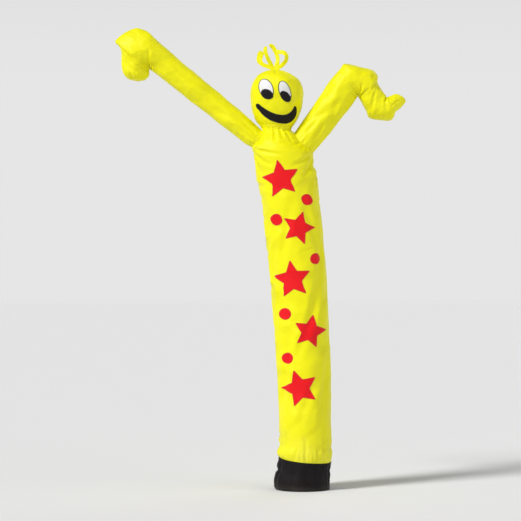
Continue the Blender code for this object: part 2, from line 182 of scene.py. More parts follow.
# Ribbons on the head: the middle line, how far forward it lies, and the ribbon's width and twist
Bend = namedtuple("Bend", "x z y width twist")
RIBBONS = {
    "hair_ribbon_1": rows_of(
        Bend,
        (-0.178, 2.750, 0.009, 0.018, 0),
        (-0.196, 2.774, 0.010, 0.021, 0),
        (-0.226, 2.790, 0.018, 0.025, 10),
        (-0.262, 2.806, 0.032, 0.025, 22),
        (-0.280, 2.830, 0.042, 0.040, 30),
        (-0.280, 2.852, 0.044, 0.042, 25),
        (-0.275, 2.872, 0.040, 0.039, 14),
        (-0.265, 2.889, 0.034, 0.034, 4),
    ),
    "hair_ribbon_2": rows_of(
        Bend,
        (-0.180, 2.750, 0.003, 0.018, 0),
        (-0.192, 2.776, 0.002, 0.021, 0),
        (-0.205, 2.800, -0.002, 0.024, 6),
        (-0.223, 2.833, -0.010, 0.024, 14),
        (-0.237, 2.866, -0.018, 0.023, 16),
        (-0.245, 2.895, -0.020, 0.023, 10),
        (-0.239, 2.917, -0.016, 0.020, 0),
    ),
    "hair_ribbon_3": rows_of(
        Bend,
        (-0.172, 2.750, -0.003, 0.018, 0),
        (-0.172, 2.775, -0.003, 0.022, 0),
        (-0.167, 2.802, 0.000, 0.026, 8),
        (-0.161, 2.828, 0.006, 0.025, 20),
        (-0.167, 2.866, 0.014, 0.026, 24),
        (-0.181, 2.898, 0.018, 0.025, 16),
        (-0.199, 2.924, 0.016, 0.024, 6),
        (-0.216, 2.932, 0.012, 0.018, 0),
    ),
    "hair_ribbon_4": rows_of(
        Bend,
        (-0.176, 2.750, -0.009, 0.018, 0),
        (-0.160, 2.775, -0.010, 0.022, 0),
        (-0.127, 2.801, -0.018, 0.025, -10),
        (-0.106, 2.829, -0.030, 0.025, -24),
        (-0.105, 2.857, -0.036, 0.026, -26),
        (-0.120, 2.875, -0.034, 0.026, -14),
        (-0.150, 2.882, -0.026, 0.024, -5),
        (-0.174, 2.888, -0.018, 0.021, 0),
    ),
}

# Face pieces: ovals by their middle, half sizes and lean, and the mouth by its two edges
Oval = namedtuple("Oval", "x z half_long half_short lean")
EYES = {
    "eye_white_left": Oval(x=-0.238, z=2.627, half_long=0.066, half_short=0.0438, lean=109),
    "eye_white_right": Oval(x=-0.117, z=2.612, half_long=0.067, half_short=0.0362, lean=108),
}
PUPILS = {
    "pupil_left": Oval(x=-0.232, z=2.594, half_long=0.040, half_short=0.0270, lean=-28),
    "pupil_right": Oval(x=-0.113, z=2.579, half_long=0.039, half_short=0.0248, lean=-44),
}
MOUTH_LEFT_TIP = (-0.300, 2.533)
MOUTH_RIGHT_TIP = (-0.049, 2.519)
MOUTH_UPPER = (
    *((-0.295, 2.534), (-0.262, 2.512), (-0.214, 2.482), (-0.160, 2.462)),
    *((-0.110, 2.463), (-0.076, 2.483), (-0.060, 2.503), (-0.053, 2.517)),
)
MOUTH_LOWER = (
    *((-0.301, 2.527), (-0.279, 2.490), (-0.242, 2.451), (-0.196, 2.424), (-0.140, 2.409)),
    *((-0.099, 2.411), (-0.066, 2.433), (-0.045, 2.462), (-0.040, 2.495), (-0.044, 2.515)),
)

# Sewn-on trim down the front: five-pointed stars set zigzag, with round spots between them
Star = namedtuple("Star", "x z reach lean")
STARS = {
    "star_1": Star(x=-0.140, z=2.040, reach=0.122, lean=12),
    "star_2": Star(x=-0.030, z=1.720, reach=0.108, lean=-16),
    "star_3": Star(x=-0.068, z=1.385, reach=0.122, lean=8),
    "star_4": Star(x=0.045, z=1.045, reach=0.108, lean=-12),
    "star_5": Star(x=-0.018, z=0.675, reach=0.120, lean=18),
}
STAR_POINTS = 5
STAR_WAIST = 0.50
SPOTS = {
    "spot_1": Oval(x=0.030, z=1.905, half_long=0.034, half_short=0.034, lean=0),
    "spot_2": Oval(x=-0.172, z=1.775, half_long=0.036, half_short=0.036, lean=0),
    "spot_3": Oval(x=0.082, z=1.520, half_long=0.034, half_short=0.034, lean=0),
    "spot_4": Oval(x=-0.118, z=1.160, half_long=0.036, half_short=0.036, lean=0),
    "spot_5": Oval(x=-0.098, z=0.870, half_long=0.034, half_short=0.034, lean=0),
}

# Creases ------------------------------------------------------------------------------------------

# A crease runs from one place on a tube to another. A turn is an angle round the tube in degrees: 0 is
# the front, 90 the right (or an arm's lower) edge, -90 the left (or upper) edge, 180 the back. at is a
# height on the upright tubes and a distance along the arms. Depth is negative for a trough.
Crease = namedtuple("Crease", "turn1 at1 turn2 at2 width depth bow", defaults=(0.0,))

BODY_CREASES = rows_of(
    Crease,
    # the kink in the left edge, and the smaller ones below it
    (-132, 2.044, -48, 1.995, 0.013, -0.0032, 0.008),
    (-118, 1.935, -62, 1.905, 0.014, -0.0035, -0.006),
    (-110, 1.800, -55, 1.782, 0.016, -0.0028, 0.006),
    (-120, 1.560, -70, 1.548, 0.018, -0.0026, -0.006),
    (-108, 1.330, -58, 1.352, 0.018, -0.0026, 0.006),
    (-125, 1.070, -75, 1.055, 0.018, -0.0024, 0.004),
    # the right edge, pinched under the arm
    (140, 2.150, 38, 2.100, 0.018, -0.0040, 0.010),
    (118, 2.075, 52, 2.045, 0.014, -0.0026, 0.006),
    (112, 1.905, 66, 1.880, 0.015, -0.0026, -0.004),
    # pulled out from the left armpit over the front and the back
    (-86, 2.225, -52, 2.075, 0.015, -0.0048, 0.010),
    (-80, 2.235, -26, 2.130, 0.014, -0.0050, 0.010),
    (-74, 2.250, -4, 2.200, 0.013, -0.0044, 0.006),
    (-98, 2.225, -128, 2.080, 0.015, -0.0048, -0.010),
    (-106, 2.235, -160, 2.130, 0.014, -0.0046, -0.010),
    # and from the right one
    (84, 2.190, 62, 1.985, 0.015, -0.0048, -0.010),
    (78, 2.205, 30, 2.050, 0.014, -0.0050, -0.008),
    (72, 2.225, 12, 2.120, 0.013, -0.0042, -0.006),
    (98, 2.190, 120, 1.990, 0.015, -0.0048, 0.010),
    (106, 2.205, 158, 2.060, 0.014, -0.0044, 0.008),
    # across the chest from shoulder to shoulder
    (-58, 2.300, 16, 2.235, 0.016, -0.0046, 0.012),
    (52, 2.275, -10, 2.262, 0.014, -0.0034, 0.008),
    (-132, 2.300, 166, 2.240, 0.016, -0.0042, -0.012),
    # gathered up to the neck
    (-34, 2.380, -24, 2.290, 0.010, -0.0036),
    (-12, 2.384, -8, 2.270, 0.011, -0.0042),
    (11, 2.380, 9, 2.300, 0.010, -0.0034),
    (33, 2.384, 27, 2.275, 0.011, -0.0040),
    (152, 2.380, 158, 2.290, 0.010, -0.0036),
    (176, 2.384, 174, 2.270, 0.012, -0.0042),
    (-158, 2.380, -162, 2.290, 0.010, -0.0036),
    # long slack lines down the tube
    (-66, 0.500, -26, 1.080, 0.026, -0.0056, 0.016),
    (34, 0.400, 66, 0.900, 0.024, -0.0050, -0.014),
    (-20, 0.860, 34, 1.300, 0.024, -0.0046, 0.016),
    (12, 1.080, 60, 1.640, 0.026, -0.0056, 0.018),
    (-84, 1.120, -40, 1.640, 0.026, -0.0056, -0.014),
    (62, 1.480, 22, 1.960, 0.024, -0.0050, -0.014),
    (-44, 1.460, -2, 1.900, 0.024, -0.0046, 0.014),
    (-16, 0.420, 22, 0.700, 0.022, -0.0036, -0.008),
    (140, 0.520, 190, 1.100, 0.028, -0.0056, 0.014),
    (-150, 0.760, -118, 1.360, 0.028, -0.0054, -0.014),
    (120, 1.160, 168, 1.760, 0.028, -0.0056, 0.014),
    (-170, 1.420, -132, 1.980, 0.028, -0.0054, 0.014),
    (100, 0.640, 124, 1.100, 0.024, -0.0044, -0.010),
    # the soft roll over the sleeve's seam
    (-165, 0.300, -22, 0.292, 0.020, -0.0042, 0.006),
    (8, 0.278, 132, 0.268, 0.018, -0.0030, -0.006),
    (-120, 0.352, -66, 0.372, 0.016, -0.0024, 0.004),
    # drawn in above the seam, in uneven pleats
    (-92, 0.222, -84, 0.340, 0.011, -0.0034),
    (-66, 0.216, -62, 0.300, 0.010, -0.0040),
    (-45, 0.208, -47, 0.385, 0.012, -0.0036),
    (-24, 0.200, -18, 0.290, 0.010, -0.0034),
    (2, 0.194, -2, 0.345, 0.012, -0.0040),
    (24, 0.190, 29, 0.275, 0.010, -0.0032),
    (47, 0.188, 44, 0.360, 0.012, -0.0038),
    (74, 0.190, 80, 0.285, 0.010, -0.0034),
    (101, 0.194, 97, 0.335, 0.011, -0.0036),
    (129, 0.204, 134, 0.300, 0.010, -0.0034),
    (157, 0.210, 153, 0.360, 0.012, -0.0038),
    (-174, 0.216, -168, 0.300, 0.010, -0.0034),
    (-146, 0.220, -150, 0.350, 0.012, -0.0036),
    (-118, 0.224, -114, 0.300, 0.010, -0.0032),
)

SLEEVE_CREASES = rows_of(
    Crease,
    (-150, 0.150, -44, 0.128, 0.013, -0.0050, 0.008),
    (-112, 0.190, -70, 0.176, 0.009, -0.0024, 0.003),
    (60, 0.112, 128, 0.124, 0.014, -0.0026, -0.004),
    (-58, 0.195, -70, 0.010, 0.016, -0.0038, 0.004),
    (-26, 0.185, -20, 0.030, 0.017, -0.0034, -0.004),
    (6, 0.178, 14, 0.006, 0.018, -0.0040, 0.005),
    (39, 0.172, 34, 0.040, 0.015, -0.0030, 0.004),
    (66, 0.172, 74, 0.006, 0.016, -0.0036, -0.004),
    (108, 0.180, 101, 0.020, 0.016, -0.0034, 0.004),
    (141, 0.188, 149, 0.006, 0.018, -0.0040, 0.005),
    (178, 0.196, 171, 0.030, 0.016, -0.0034, -0.004),
    (-146, 0.204, -139, 0.006, 0.018, -0.0038, 0.004),
    (-104, 0.120, -98, 0.006, 0.015, -0.0030, 0.004),
)

LEFT_ARM_CREASES = rows_of(
    Crease,
    # slack lines that wind a little round the forearm
    (-40, 0.150, 30, 0.430, 0.018, -0.0034, 0.008),
    (46, 0.180, 4, 0.480, 0.018, -0.0032, -0.008),
    (-62, 0.420, -6, 0.760, 0.019, -0.0034, 0.008),
    (60, 0.520, 16, 0.840, 0.018, -0.0034, -0.008),
    (150, 0.180, 214, 0.480, 0.018, -0.0036, 0.008),
    (222, 0.440, 168, 0.800, 0.018, -0.0034, 0.008),
    # short pulls out of the shoulder seam
    (-66, 0.085, -50, 0.215, 0.012, -0.0036),
    (-20, 0.080, -12, 0.180, 0.011, -0.0038),
    (22, 0.080, 14, 0.230, 0.012, -0.0036),
    (64, 0.085, 52, 0.190, 0.011, -0.0038),
    (116, 0.085, 128, 0.200, 0.012, -0.0036),
    (160, 0.080, 168, 0.220, 0.012, -0.0038),
    (-156, 0.085, -150, 0.190, 0.011, -0.0034),
    # the hand: its outer corner, its drop and its gathered end
    (-84, 0.990, -34, 1.010, 0.015, -0.0028, 0.008),
    (-76, 1.128, -20, 1.150, 0.013, -0.0052, 0.008),
    (-108, 1.128, -160, 1.150, 0.013, -0.0050, -0.008),
    (-62, 1.190, 10, 1.215, 0.014, -0.0036, -0.008),
    (-60, 1.290, -52, 1.210, 0.010, -0.0034),
    (-14, 1.300, -20, 1.200, 0.010, -0.0036),
    (34, 1.290, 28, 1.215, 0.010, -0.0032),
    (128, 1.290, 136, 1.210, 0.010, -0.0034),
    (-150, 1.295, -156, 1.205, 0.010, -0.0034),
)

RIGHT_ARM_CREASES = rows_of(
    Crease,
    (-44, 0.200, 18, 0.440, 0.020, -0.0038, 0.010),
    (48, 0.230, 2, 0.520, 0.020, -0.0036, -0.010),
    (148, 0.200, 212, 0.480, 0.020, -0.0040, 0.010),
    (-70, 0.330, -34, 0.560, 0.018, -0.0034, 0.008),
    # short pulls out of the shoulder seam
    (-60, 0.150, -46, 0.260, 0.013, -0.0038),
    (-18, 0.135, -12, 0.250, 0.012, -0.0040),
    (24, 0.120, 18, 0.270, 0.013, -0.0038),
    (64, 0.110, 54, 0.220, 0.012, -0.0042),
    (116, 0.110, 128, 0.230, 0.012, -0.0038),
    (158, 0.120, 166, 0.260, 0.013, -0.0038),
    (-156, 0.135, -150, 0.240, 0.012, -0.0036),
    # the outer corner of the elbow
    (-66, 0.575, -22, 0.600, 0.016, -0.0040, 0.008),
    (-62, 0.668, -24, 0.650, 0.014, -0.0036, -0.006),
    (246, 0.580, 206, 0.610, 0.016, -0.0040, 0.008),
    # the wrist, pinched on its upper side, and the hand
    (-64, 0.772, -6, 0.760, 0.014, -0.0046, 0.008),
    (-58, 0.735, -20, 0.722, 0.012, -0.0030, 0.004),
    (-30, 0.790, 40, 0.860, 0.013, -0.0036, 0.008),
    (-110, 0.905, -20, 0.900, 0.013, -0.0048, 0.008),
    (-70, 0.880, 10, 0.935, 0.013, -0.0040, -0.006),
    (250, 0.900, 170, 0.930, 0.013, -0.0044, 0.006),
    (-56, 1.040, -50, 0.965, 0.010, -0.0032),
    (0, 1.050, -6, 0.960, 0.010, -0.0034),
    (58, 1.040, 52, 0.965, 0.010, -0.0032),
    (178, 1.045, 186, 0.965, 0.010, -0.0034),
)

HEAD_CREASES = rows_of(
    Crease,
    # gathered to the neck seam
    (-62, 2.398, -66, 2.452, 0.009, -0.0028),
    (-30, 2.398, -34, 2.426, 0.007, -0.0016),
    (34, 2.398, 38, 2.424, 0.007, -0.0014),
    (66, 2.398, 70, 2.440, 0.008, -0.0022),
    (118, 2.398, 114, 2.450, 0.009, -0.0028),
    (150, 2.398, 146, 2.462, 0.010, -0.0032),
    (180, 2.398, 182, 2.446, 0.009, -0.0028),
    (-146, 2.398, -142, 2.460, 0.010, -0.0030),
    (-112, 2.398, -110, 2.448, 0.009, -0.0028),
    # drawn up to the crown
    (-34, 2.757, -38, 2.716, 0.010, -0.0028),
    (4, 2.757, 2, 2.722, 0.010, -0.0026),
    (46, 2.757, 50, 2.712, 0.011, -0.0030),
    (92, 2.757, 96, 2.716, 0.010, -0.0028),
    (140, 2.757, 138, 2.704, 0.012, -0.0032),
    (-174, 2.757, -170, 2.716, 0.010, -0.0028),
    (-128, 2.757, -132, 2.706, 0.012, -0.0032),
    (-82, 2.757, -80, 2.718, 0.010, -0.0028),
    # slack lines at the back and the cheeks
    (150, 2.500, 172, 2.640, 0.018, -0.0028, 0.006),
    (-160, 2.520, -146, 2.640, 0.018, -0.0028, -0.006),
    (78, 2.500, 92, 2.600, 0.014, -0.0024, 0.004),
    (-82, 2.490, -94, 2.590, 0.014, -0.0024, -0.004),
)

# A bend of an arm creases in a fan from its inside: where that is, how wide the fan, how many creases
Fan = namedtuple("Fan", "inside at spread count depth")
LEFT_ARM_FANS = (Fan(inside=90, at=1.060, spread=0.250, count=7, depth=-0.0052),)
RIGHT_ARM_FANS = (
    Fan(inside=90, at=0.640, spread=0.200, count=7, depth=-0.0054),
    Fan(inside=90, at=0.905, spread=0.085, count=4, depth=-0.0036),
)

# Grids, tucks and cuts ----------------------------------------------------------------------------

# How finely each tube is gridded: the length of a cell along it, and the cells round it
BODY_STEP, SHOULDER_STEP, SHOULDER_LENGTH, BODY_SIDES = 0.0095, 0.0055, 0.46, 160
ARM_STEP, ARM_SIDES = 0.0068, 96
HEAD_STEP, HEAD_SIDES = 0.0052, 120
SLEEVE_STEP, SLEEVE_SIDES = 0.0052, 160

# The tube goes on inside the sleeve, and an arm inside the body's cloth, past their seams
TUCK = 0.012
ARM_TUCK = 0.004
# The hole in the body inside an arm, as a share of the arm's section
HOLE_SHARE = 0.93

# How far air pushes the slack cloth out past the hoops, away from the seams
BODY_LEFT_FULLNESS, BODY_RIGHT_FULLNESS = 0.0060, 0.0042
HEAD_FULLNESS = 0.0056
# The same for each arm, in its length and then in its hand
LEFT_ARM_FULLNESS, RIGHT_ARM_FULLNESS = (0.0076, 0.0026), (0.0022, 0.0014)
# Where along an arm its hand begins, and over how much of it, as shares of its length
HAND = (0.71, 0.09)

# The flat pieces that each tube is cut from: width round the tube, length, and area where shaped
Cut = namedtuple("Cut", "width length area", defaults=(None,))
LEFT_ARM_CUT = Cut(0.74, 1.36, 0.66)
RIGHT_ARM_CUT = Cut(0.69, 1.12, 0.56)

Arm = namedtuple("Arm", "hoops creases fans fullness seed cut")
ARMS = {
    "arm_left": Arm(
        LEFT_ARM, LEFT_ARM_CREASES, LEFT_ARM_FANS, LEFT_ARM_FULLNESS, seed=21, cut=LEFT_ARM_CUT
    ),
    "arm_right": Arm(
        RIGHT_ARM, RIGHT_ARM_CREASES, RIGHT_ARM_FANS, RIGHT_ARM_FULLNESS, seed=26, cut=RIGHT_ARM_CUT
    ),
}

# What a user would change -------------------------------------------------------------------------


def length(name, description, default):
    return FloatProperty(
        name=name,
        description=description,
        default=default,
        min=0.0,
        soft_max=4 * default,
        precision=4,
        unit="LENGTH",
    )


def strength(name, description, default, most):
    return FloatProperty(name=name, description=description, default=default, min=0.0, max=most)


def colour(name, description, default):
    return FloatVectorProperty(
        name=name, description=description, default=default, min=0.0, max=1.0, subtype="COLOR"
    )


class DancerCloth(bpy.types.PropertyGroup):
    """How thick the cloths are and how they are sewn"""

    nylon: length("Nylon", "Thickness of the yellow cloth", 0.0008)
    sleeve: length("Sleeve", "Thickness of the coated cloth of the base sleeve", 0.0022)
    patch: length("Trim", "Thickness of the sewn-on trim and face pieces", 0.0009)
    ribbon: length("Ribbons", "Thickness of the hair ribbons", 0.0010)
    seam: length("Seam", "Width of the folded seams", 0.011)
    border: length("Border", "Width of the close stitching round the trim", 0.0055)
    stitch: length("Stitch", "Distance from one stitch to the next", 0.0055)
    slack: FloatProperty(
        name="Slack",
        description="How strongly the cloth is creased, from 0 for a tight tube to 2 for a slack one",
        default=1.4,
        min=0.0,
        max=2.0,
        subtype="FACTOR",
    )


class DancerColours(bpy.types.PropertyGroup):
    """The colours of the cloths and threads"""

    yellow: colour("Yellow", "Nylon of the tube, arms, head and ribbons", (0.88, 0.84, 0.0))
    red: colour("Red", "Nylon of the stars and spots", (0.82, 0.005, 0.010))
    black: colour("Black", "Nylon of the pupils and the mouth", (0.009, 0.007, 0.0075))
    white: colour("White", "Nylon of the eyes", (0.80, 0.80, 0.80))
    sleeve: colour("Sleeve", "Coated cloth of the base sleeve", (0.005, 0.004, 0.0045))
    dust: colour("Dust", "Dust that the cloth takes up near the ground", (0.33, 0.29, 0.22))


class DancerStage(bpy.types.PropertyGroup):
    """Camera, lights and floor"""

    camera_distance: length("Camera distance", "From the figure to the camera", 13.2)
    camera_height: length("Camera height", "Of the level camera over the floor", 1.508)
    view_width: length("View width", "What the picture takes in across the figure", 3.4386)
    floor: colour("Floor", "The plain pale floor", (0.868, 0.868, 0.868))
    sky: strength("Surrounding light", "Strength of the even light from all round", 0.21, 3.0)
    glow: strength("Backdrop", "How much brighter the light is low down, all round", 0.58, 3.0)
    key: strength("Key light", "Strength of the broad soft light from the upper left", 2.6, 20.0)


# Smooth curves and grids --------------------------------------------------------------------------


def unit(vectors):
    size = np.linalg.norm(vectors, axis=-1, keepdims=True)
    return vectors / np.maximum(size, 1e-12)


def rise(value, start, reach):
    """0 up to the start, 1 from its reach further on, and a smooth step between."""
    t = np.clip((value - start) / reach, 0.0, 1.0)
    return t * t * (3 - 2 * t)


def joined(grid, axis=0):
    """The rows or columns of a grid, with the first one once more at the end."""
    return np.concatenate([grid, np.take(grid, [0], axis)], axis)


def smoothed(ring, times):
    """A closed ring of values or points, each moved towards its neighbours."""
    for _ in range(times):
        ring = (np.roll(ring, 1, axis=0) + 2 * ring + np.roll(ring, -1, axis=0)) / 4
    return ring


def round_turns(sides):
    """Even turns once round, in radians."""
    return 2 * math.pi * np.arange(sides) / sides


def curve_marks(points):
    """How far along its polyline each point lies."""
    steps = np.linalg.norm(np.diff(points, axis=0), axis=1)
    return np.concatenate([[0.0], np.cumsum(steps)])


def read_line(rows, marks, at):
    """Rows read at any distances from the straight lines between the given rows, which lie at marks."""
    return np.stack([np.interp(at, marks, column) for column in np.transpose(rows)], axis=-1)


def read_curve(rows, marks, at):
    """Rows read at any distances from the smooth curve through the given rows, which lie at marks."""
    rows = np.asarray(rows, float)
    step = np.diff(marks)[:, None]
    slope = np.diff(rows, axis=0) / step
    inner = (slope[:-1] * step[1:] + slope[1:] * step[:-1]) / (step[1:] + step[:-1])
    lean = np.vstack([slope[:1], inner, slope[-1:]])
    at = np.asarray(at, float)
    i = np.clip(np.searchsorted(marks, at, side="right") - 1, 0, len(marks) - 2)
    span = step[i]
    t = ((at - marks[i])[..., None]) / span
    start = rows[i] * (2 * t**3 - 3 * t**2 + 1) + lean[i] * span * (t**3 - 2 * t**2 + t)
    end = rows[i + 1] * (3 * t**2 - 2 * t**3) + lean[i + 1] * span * (t**3 - t**2)
    return start + end


def hoop_of(level):
    return Hoop(level.left, level.z, level.right, level.z, level.depth)


def seam_hoop(shift):
    """The slanting hoop where sleeve and tube meet, moved up by shift."""
    return SLEEVE_SEAM._replace(z1=SLEEVE_SEAM.z1 + shift, z2=SLEEVE_SEAM.z2 + shift)


def hoop_marks(table):
    """How far along the tube each hoop lies, halfway between what its two edges say."""
    return (curve_marks(table[:, 0:2]) + curve_marks(table[:, 2:4])) / 2


def tube_points(table, marks, along, turn):
    """Points on a tube at distances along it and at turns round it, in radians."""
    x1, z1, x2, z2, depth, pitch = np.moveaxis(read_curve(table, marks, along), -1, 0)
    y = -depth * np.cos(turn)
    x = BASE_X + (x1 + x2) / 2 + (x2 - x1) / 2 * np.sin(turn)
    z = (z1 + z2) / 2 + (z2 - z1) / 2 * np.sin(turn) + pitch * y
    return np.stack([x, y, z], axis=-1)


def back_first(sides):
    """The turn of each column, in radians, from the middle of the back and once round."""
    return -math.pi + round_turns(sides)


class Skin:
    """A fine grid over a tube's cloth: rows along it, columns round it from the middle of the back."""

    def __init__(self, points, along, ruler):
        self.points = points
        self.along = along
        self.ruler = ruler
        self.sides = points.shape[1]
        self.closed = np.ptp(points[-1], axis=0).max() < 1e-6
        self.turn = np.degrees(back_first(self.sides))
        self.angle = np.radians(self.turn)[None]
        centres = points.mean(axis=1, keepdims=True)
        self.radius = np.linalg.norm(points - centres, axis=-1).mean(axis=1)[:, None]
        self.face_out()

    def face_out(self):
        """Finds the outward direction at each point."""
        around = np.roll(self.points, -1, axis=1) - np.roll(self.points, 1, axis=1)
        normals = unit(np.cross(around, np.gradient(self.points, axis=0)))
        centres = self.points.mean(axis=1, keepdims=True)
        if ((self.points - centres) * normals).sum() < 0:
            normals = -normals
        if self.closed:
            normals[-1] = unit(normals[-2].mean(axis=0))
        self.normals = normals

    def move_out(self, relief):
        """Moves each point outwards by its relief, and turns the directions to suit."""
        if self.closed:
            relief = relief.copy()
            relief[-1] = relief[-1].mean()
        self.points = self.points + self.normals * relief[..., None]
        self.face_out()

    def at(self, turn, row, lift=0.0):
        """Points and directions at turns in degrees and at rows, both between the grid's own too."""
        turn, row = np.broadcast_arrays(np.asarray(turn, float), np.asarray(row, float))
        column = (turn + 180.0) / 360.0 * self.sides
        c = np.floor(column).astype(int)
        r = np.clip(np.floor(row).astype(int), 0, len(self.points) - 2)
        u = (column - c)[..., None]
        v = (row - r)[..., None]
        found = []
        for grid in (self.points, self.normals):
            a, b = grid[r, c % self.sides], grid[r, (c + 1) % self.sides]
            d, e = grid[r + 1, c % self.sides], grid[r + 1, (c + 1) % self.sides]
            found.append((a * (1 - u) + b * u) * (1 - v) + (d * (1 - u) + e * u) * v)
        points, normals = found[0], unit(found[1])
        return points + normals * np.asarray(lift)[..., None], normals

    def row_of(self, ruler):
        """The row, between two of the grid's own, that lies at a height or distance."""
        levels = self.ruler.mean(axis=1)
        return np.interp(ruler, levels, np.arange(len(levels)))

    def front(self, x, z, lift=0.0):
        """Points and directions on the front of an upright tube, as seen at x and z from the front."""
        row = self.row_of(z)
        left, _ = self.at(-90.0, row)
        right, _ = self.at(90.0, row)
        middle, half = (left + right) / 2, (right - left) / 2
        share = (np.asarray(x) + BASE_X - middle[..., 0]) / half[..., 0]
        return self.at(np.degrees(np.arcsin(np.clip(share, -0.999, 0.999))), row, lift)


# How cloth lies -----------------------------------------------------------------------------------

# The cloth heaped beside a crease: its share of the depth, how far out, in widths, and how broad
HEAP, HEAP_OUT, HEAP_WIDTH = 0.42, 1.8, 0.9
# Creases of a bend: how far round they start and reach, in degrees, how wide they are and how bowed
FAN_START, FAN_REACH, FAN_REACH_SWING = 4, 68, 22
FAN_WIDTH, FAN_WIDTH_SWING, FAN_BOW = 0.0105, 0.0025, 0.006
# Every second crease of a bend is weaker by this share, and inside it they all lie closer by this one
FAN_WEAKER, FAN_GATHERED = 0.35, 0.55

# Gathers are several waves round a seam: how many more each has than asked for, and its share
GATHER_WAVES = ((0, 1.0), (3, 0.7), (-5, 0.6), (9, 0.35))
# How high these waves seldom go together
GATHER_PEAK = 1.6
# The waves of a swell, and the range of their sizes
SWELL_WAVES, SWELL_RANGE = 14, (0.6, 1.7)
# How sharp the thin ridges are, and how far they sink so that the hollows lie below the plain cloth
RIDGE_SHARPNESS, RIDGE_SINK = 2.6, 0.3

# How uneven each cloth is: its slow swell and its thin ridges, both by size and height
BODY_SWELL, BODY_RIDGES = (0.30, 0.0018), (0.19, 0.0016)
ARM_SWELL, ARM_RIDGES = (0.20, 0.0012), (0.12, 0.0010)
HEAD_SWELL, HEAD_RIDGES = (0.16, 0.0010), (0.11, 0.0008)
SLEEVE_SWELL = (0.16, 0.0009)
# The gathers at each seam: how many go round it, their height, and how far off they are highest
FOOT_GATHERS, THROAT_GATHERS = (40, 0.0017, 0.020), (30, 0.0016, 0.016)
SHOULDER_GATHERS, ARM_GATHERS = (17, 0.0020, 0.018), (17, 0.0018, 0.016)
HEAD_GATHERS, SLEEVE_GATHERS = (30, 0.0012, 0.010), (34, 0.0012, 0.014)
# A seam holds its cloth: where beside it the creases begin, and over what length they grow
FOOT_HELD, THROAT_HELD, SHOULDER_HELD = (-0.004, 0.020), (-0.002, 0.020), (-0.004, 0.014)
ARM_HELD, HEAD_HELD, SLEEVE_HELD = (-0.002, 0.020), (-0.002, 0.020), (-0.004, 0.030)
# The same for how full of air the cloth is
FOOT_FULL, THROAT_FULL, SHOULDER_FULL = (0.0, 0.05), (0.02, 0.12), (0.004, 0.050)
ARM_FULL, HEAD_FULL = (0.0, 0.06), (0.0, 0.05)
# The head is drawn in at its top: from what height, over what length, and by what share of its fullness
HEAD_TOP, HEAD_TOP_DRAWN = (2.69, 0.06), 0.8
# Inside the sleeve the tube is drawn in by the sleeve's thickness, and more at its raw edge
INSIDE_SLEEVE, INSIDE_SLEEVE_DEPTH, RAW_EDGE_DEPTH = (0.001, 0.012), 0.0032, 0.0060
# The sleeve's rim: the share of the slack that it has, and over what length this grows
RIM_SLACK, RIM_HELD = 0.25, (0.0, 0.03)
# How far up its hem goes and over what length it ends, and how far it stands out
HEM, HEM_THICKNESS = (0.020, 0.003), 0.0011


def half_turn(degrees):
    """The same angle between -180 and 180."""
    return (degrees + 180.0) % 360.0 - 180.0


def crease_relief(skin, creases):
    """Soft troughs and ridges along straight or bowed lines, each with the cloth heaped beside it."""
    relief = np.zeros(skin.points.shape[:2])
    for c in creases:
        middle = int(skin.row_of((c.at1 + c.at2) / 2))
        across = np.radians(half_turn(skin.turn - c.turn1)) * skin.radius
        up = skin.ruler - c.at1
        end_across = math.radians(half_turn(c.turn2 - c.turn1)) * skin.radius[middle, 0]
        end_up = c.at2 - c.at1
        size = math.hypot(end_across, end_up)
        t = np.clip((across * end_across + up * end_up) / size**2, 0, 1)
        swell = 4 * t * (1 - t)
        off = (across * end_up - up * end_across) / size - c.bow * swell
        q = np.abs(off) / c.width
        heap = np.exp(-(((q - HEAP_OUT) / HEAP_WIDTH) ** 2))
        relief += c.depth * np.sqrt(swell) * (np.exp(-(q**2)) - HEAP * heap)
    return relief


def fan_creases(fan):
    """The creases of a bend: from its inside round over the front, and round over the back."""
    creases = []
    for i in range(fan.count):
        share = i / (fan.count - 1) - 0.5
        strength = 1.0 - FAN_WEAKER * (i % 2)
        at1, at2 = fan.at + FAN_GATHERED * share * fan.spread, fan.at + share * fan.spread
        for side in (-1, 1):
            # the sines make no two of them alike
            near = fan.inside + side * FAN_START
            far = fan.inside + side * (FAN_REACH + FAN_REACH_SWING * math.sin(2.4 * i + side))
            width = FAN_WIDTH + FAN_WIDTH_SWING * math.cos(1.7 * i + side)
            bow = FAN_BOW * math.sin(1.1 * i + 2 * side)
            creases.append(Crease(near, at1, far, at2, width, fan.depth * strength, bow))
    return creases


def gathers(angle, distance, count, height, near, seed):
    """Small ups and downs beside a seam, which the stitching draws in. angle is in radians."""
    rng = np.random.default_rng(seed)
    wave = np.zeros(np.broadcast(angle, distance).shape)
    for extra, share in GATHER_WAVES:
        wave = wave + share * np.sin((count + extra) * angle + rng.uniform(0, 2 * math.pi))
    off = np.maximum(distance, 0.0) / near
    return height * wave / GATHER_PEAK * off * np.exp(1 - off)


def unevenness(points, size, height, seed):
    """A slow swell of waves in all directions, so that no stretch of cloth is quite even."""
    rng = np.random.default_rng(seed)
    total = np.zeros(points.shape[:-1])
    for _ in range(SWELL_WAVES):
        way = unit(rng.normal(size=3))
        turns = 2 * math.pi / (size * rng.uniform(*SWELL_RANGE))
        total += np.sin(points @ way * turns + rng.uniform(0, 2 * math.pi))
    return height * total / math.sqrt(SWELL_WAVES)


def slack_relief(points, size, height, seed):
    """Thin sharp ridges that wander between broad flat hollows, as in cloth that isn't quite tight."""
    swell = unevenness(points, size, 1.0, seed)
    return height * (np.exp(-np.abs(swell) * RIDGE_SHARPNESS) - RIDGE_SINK)


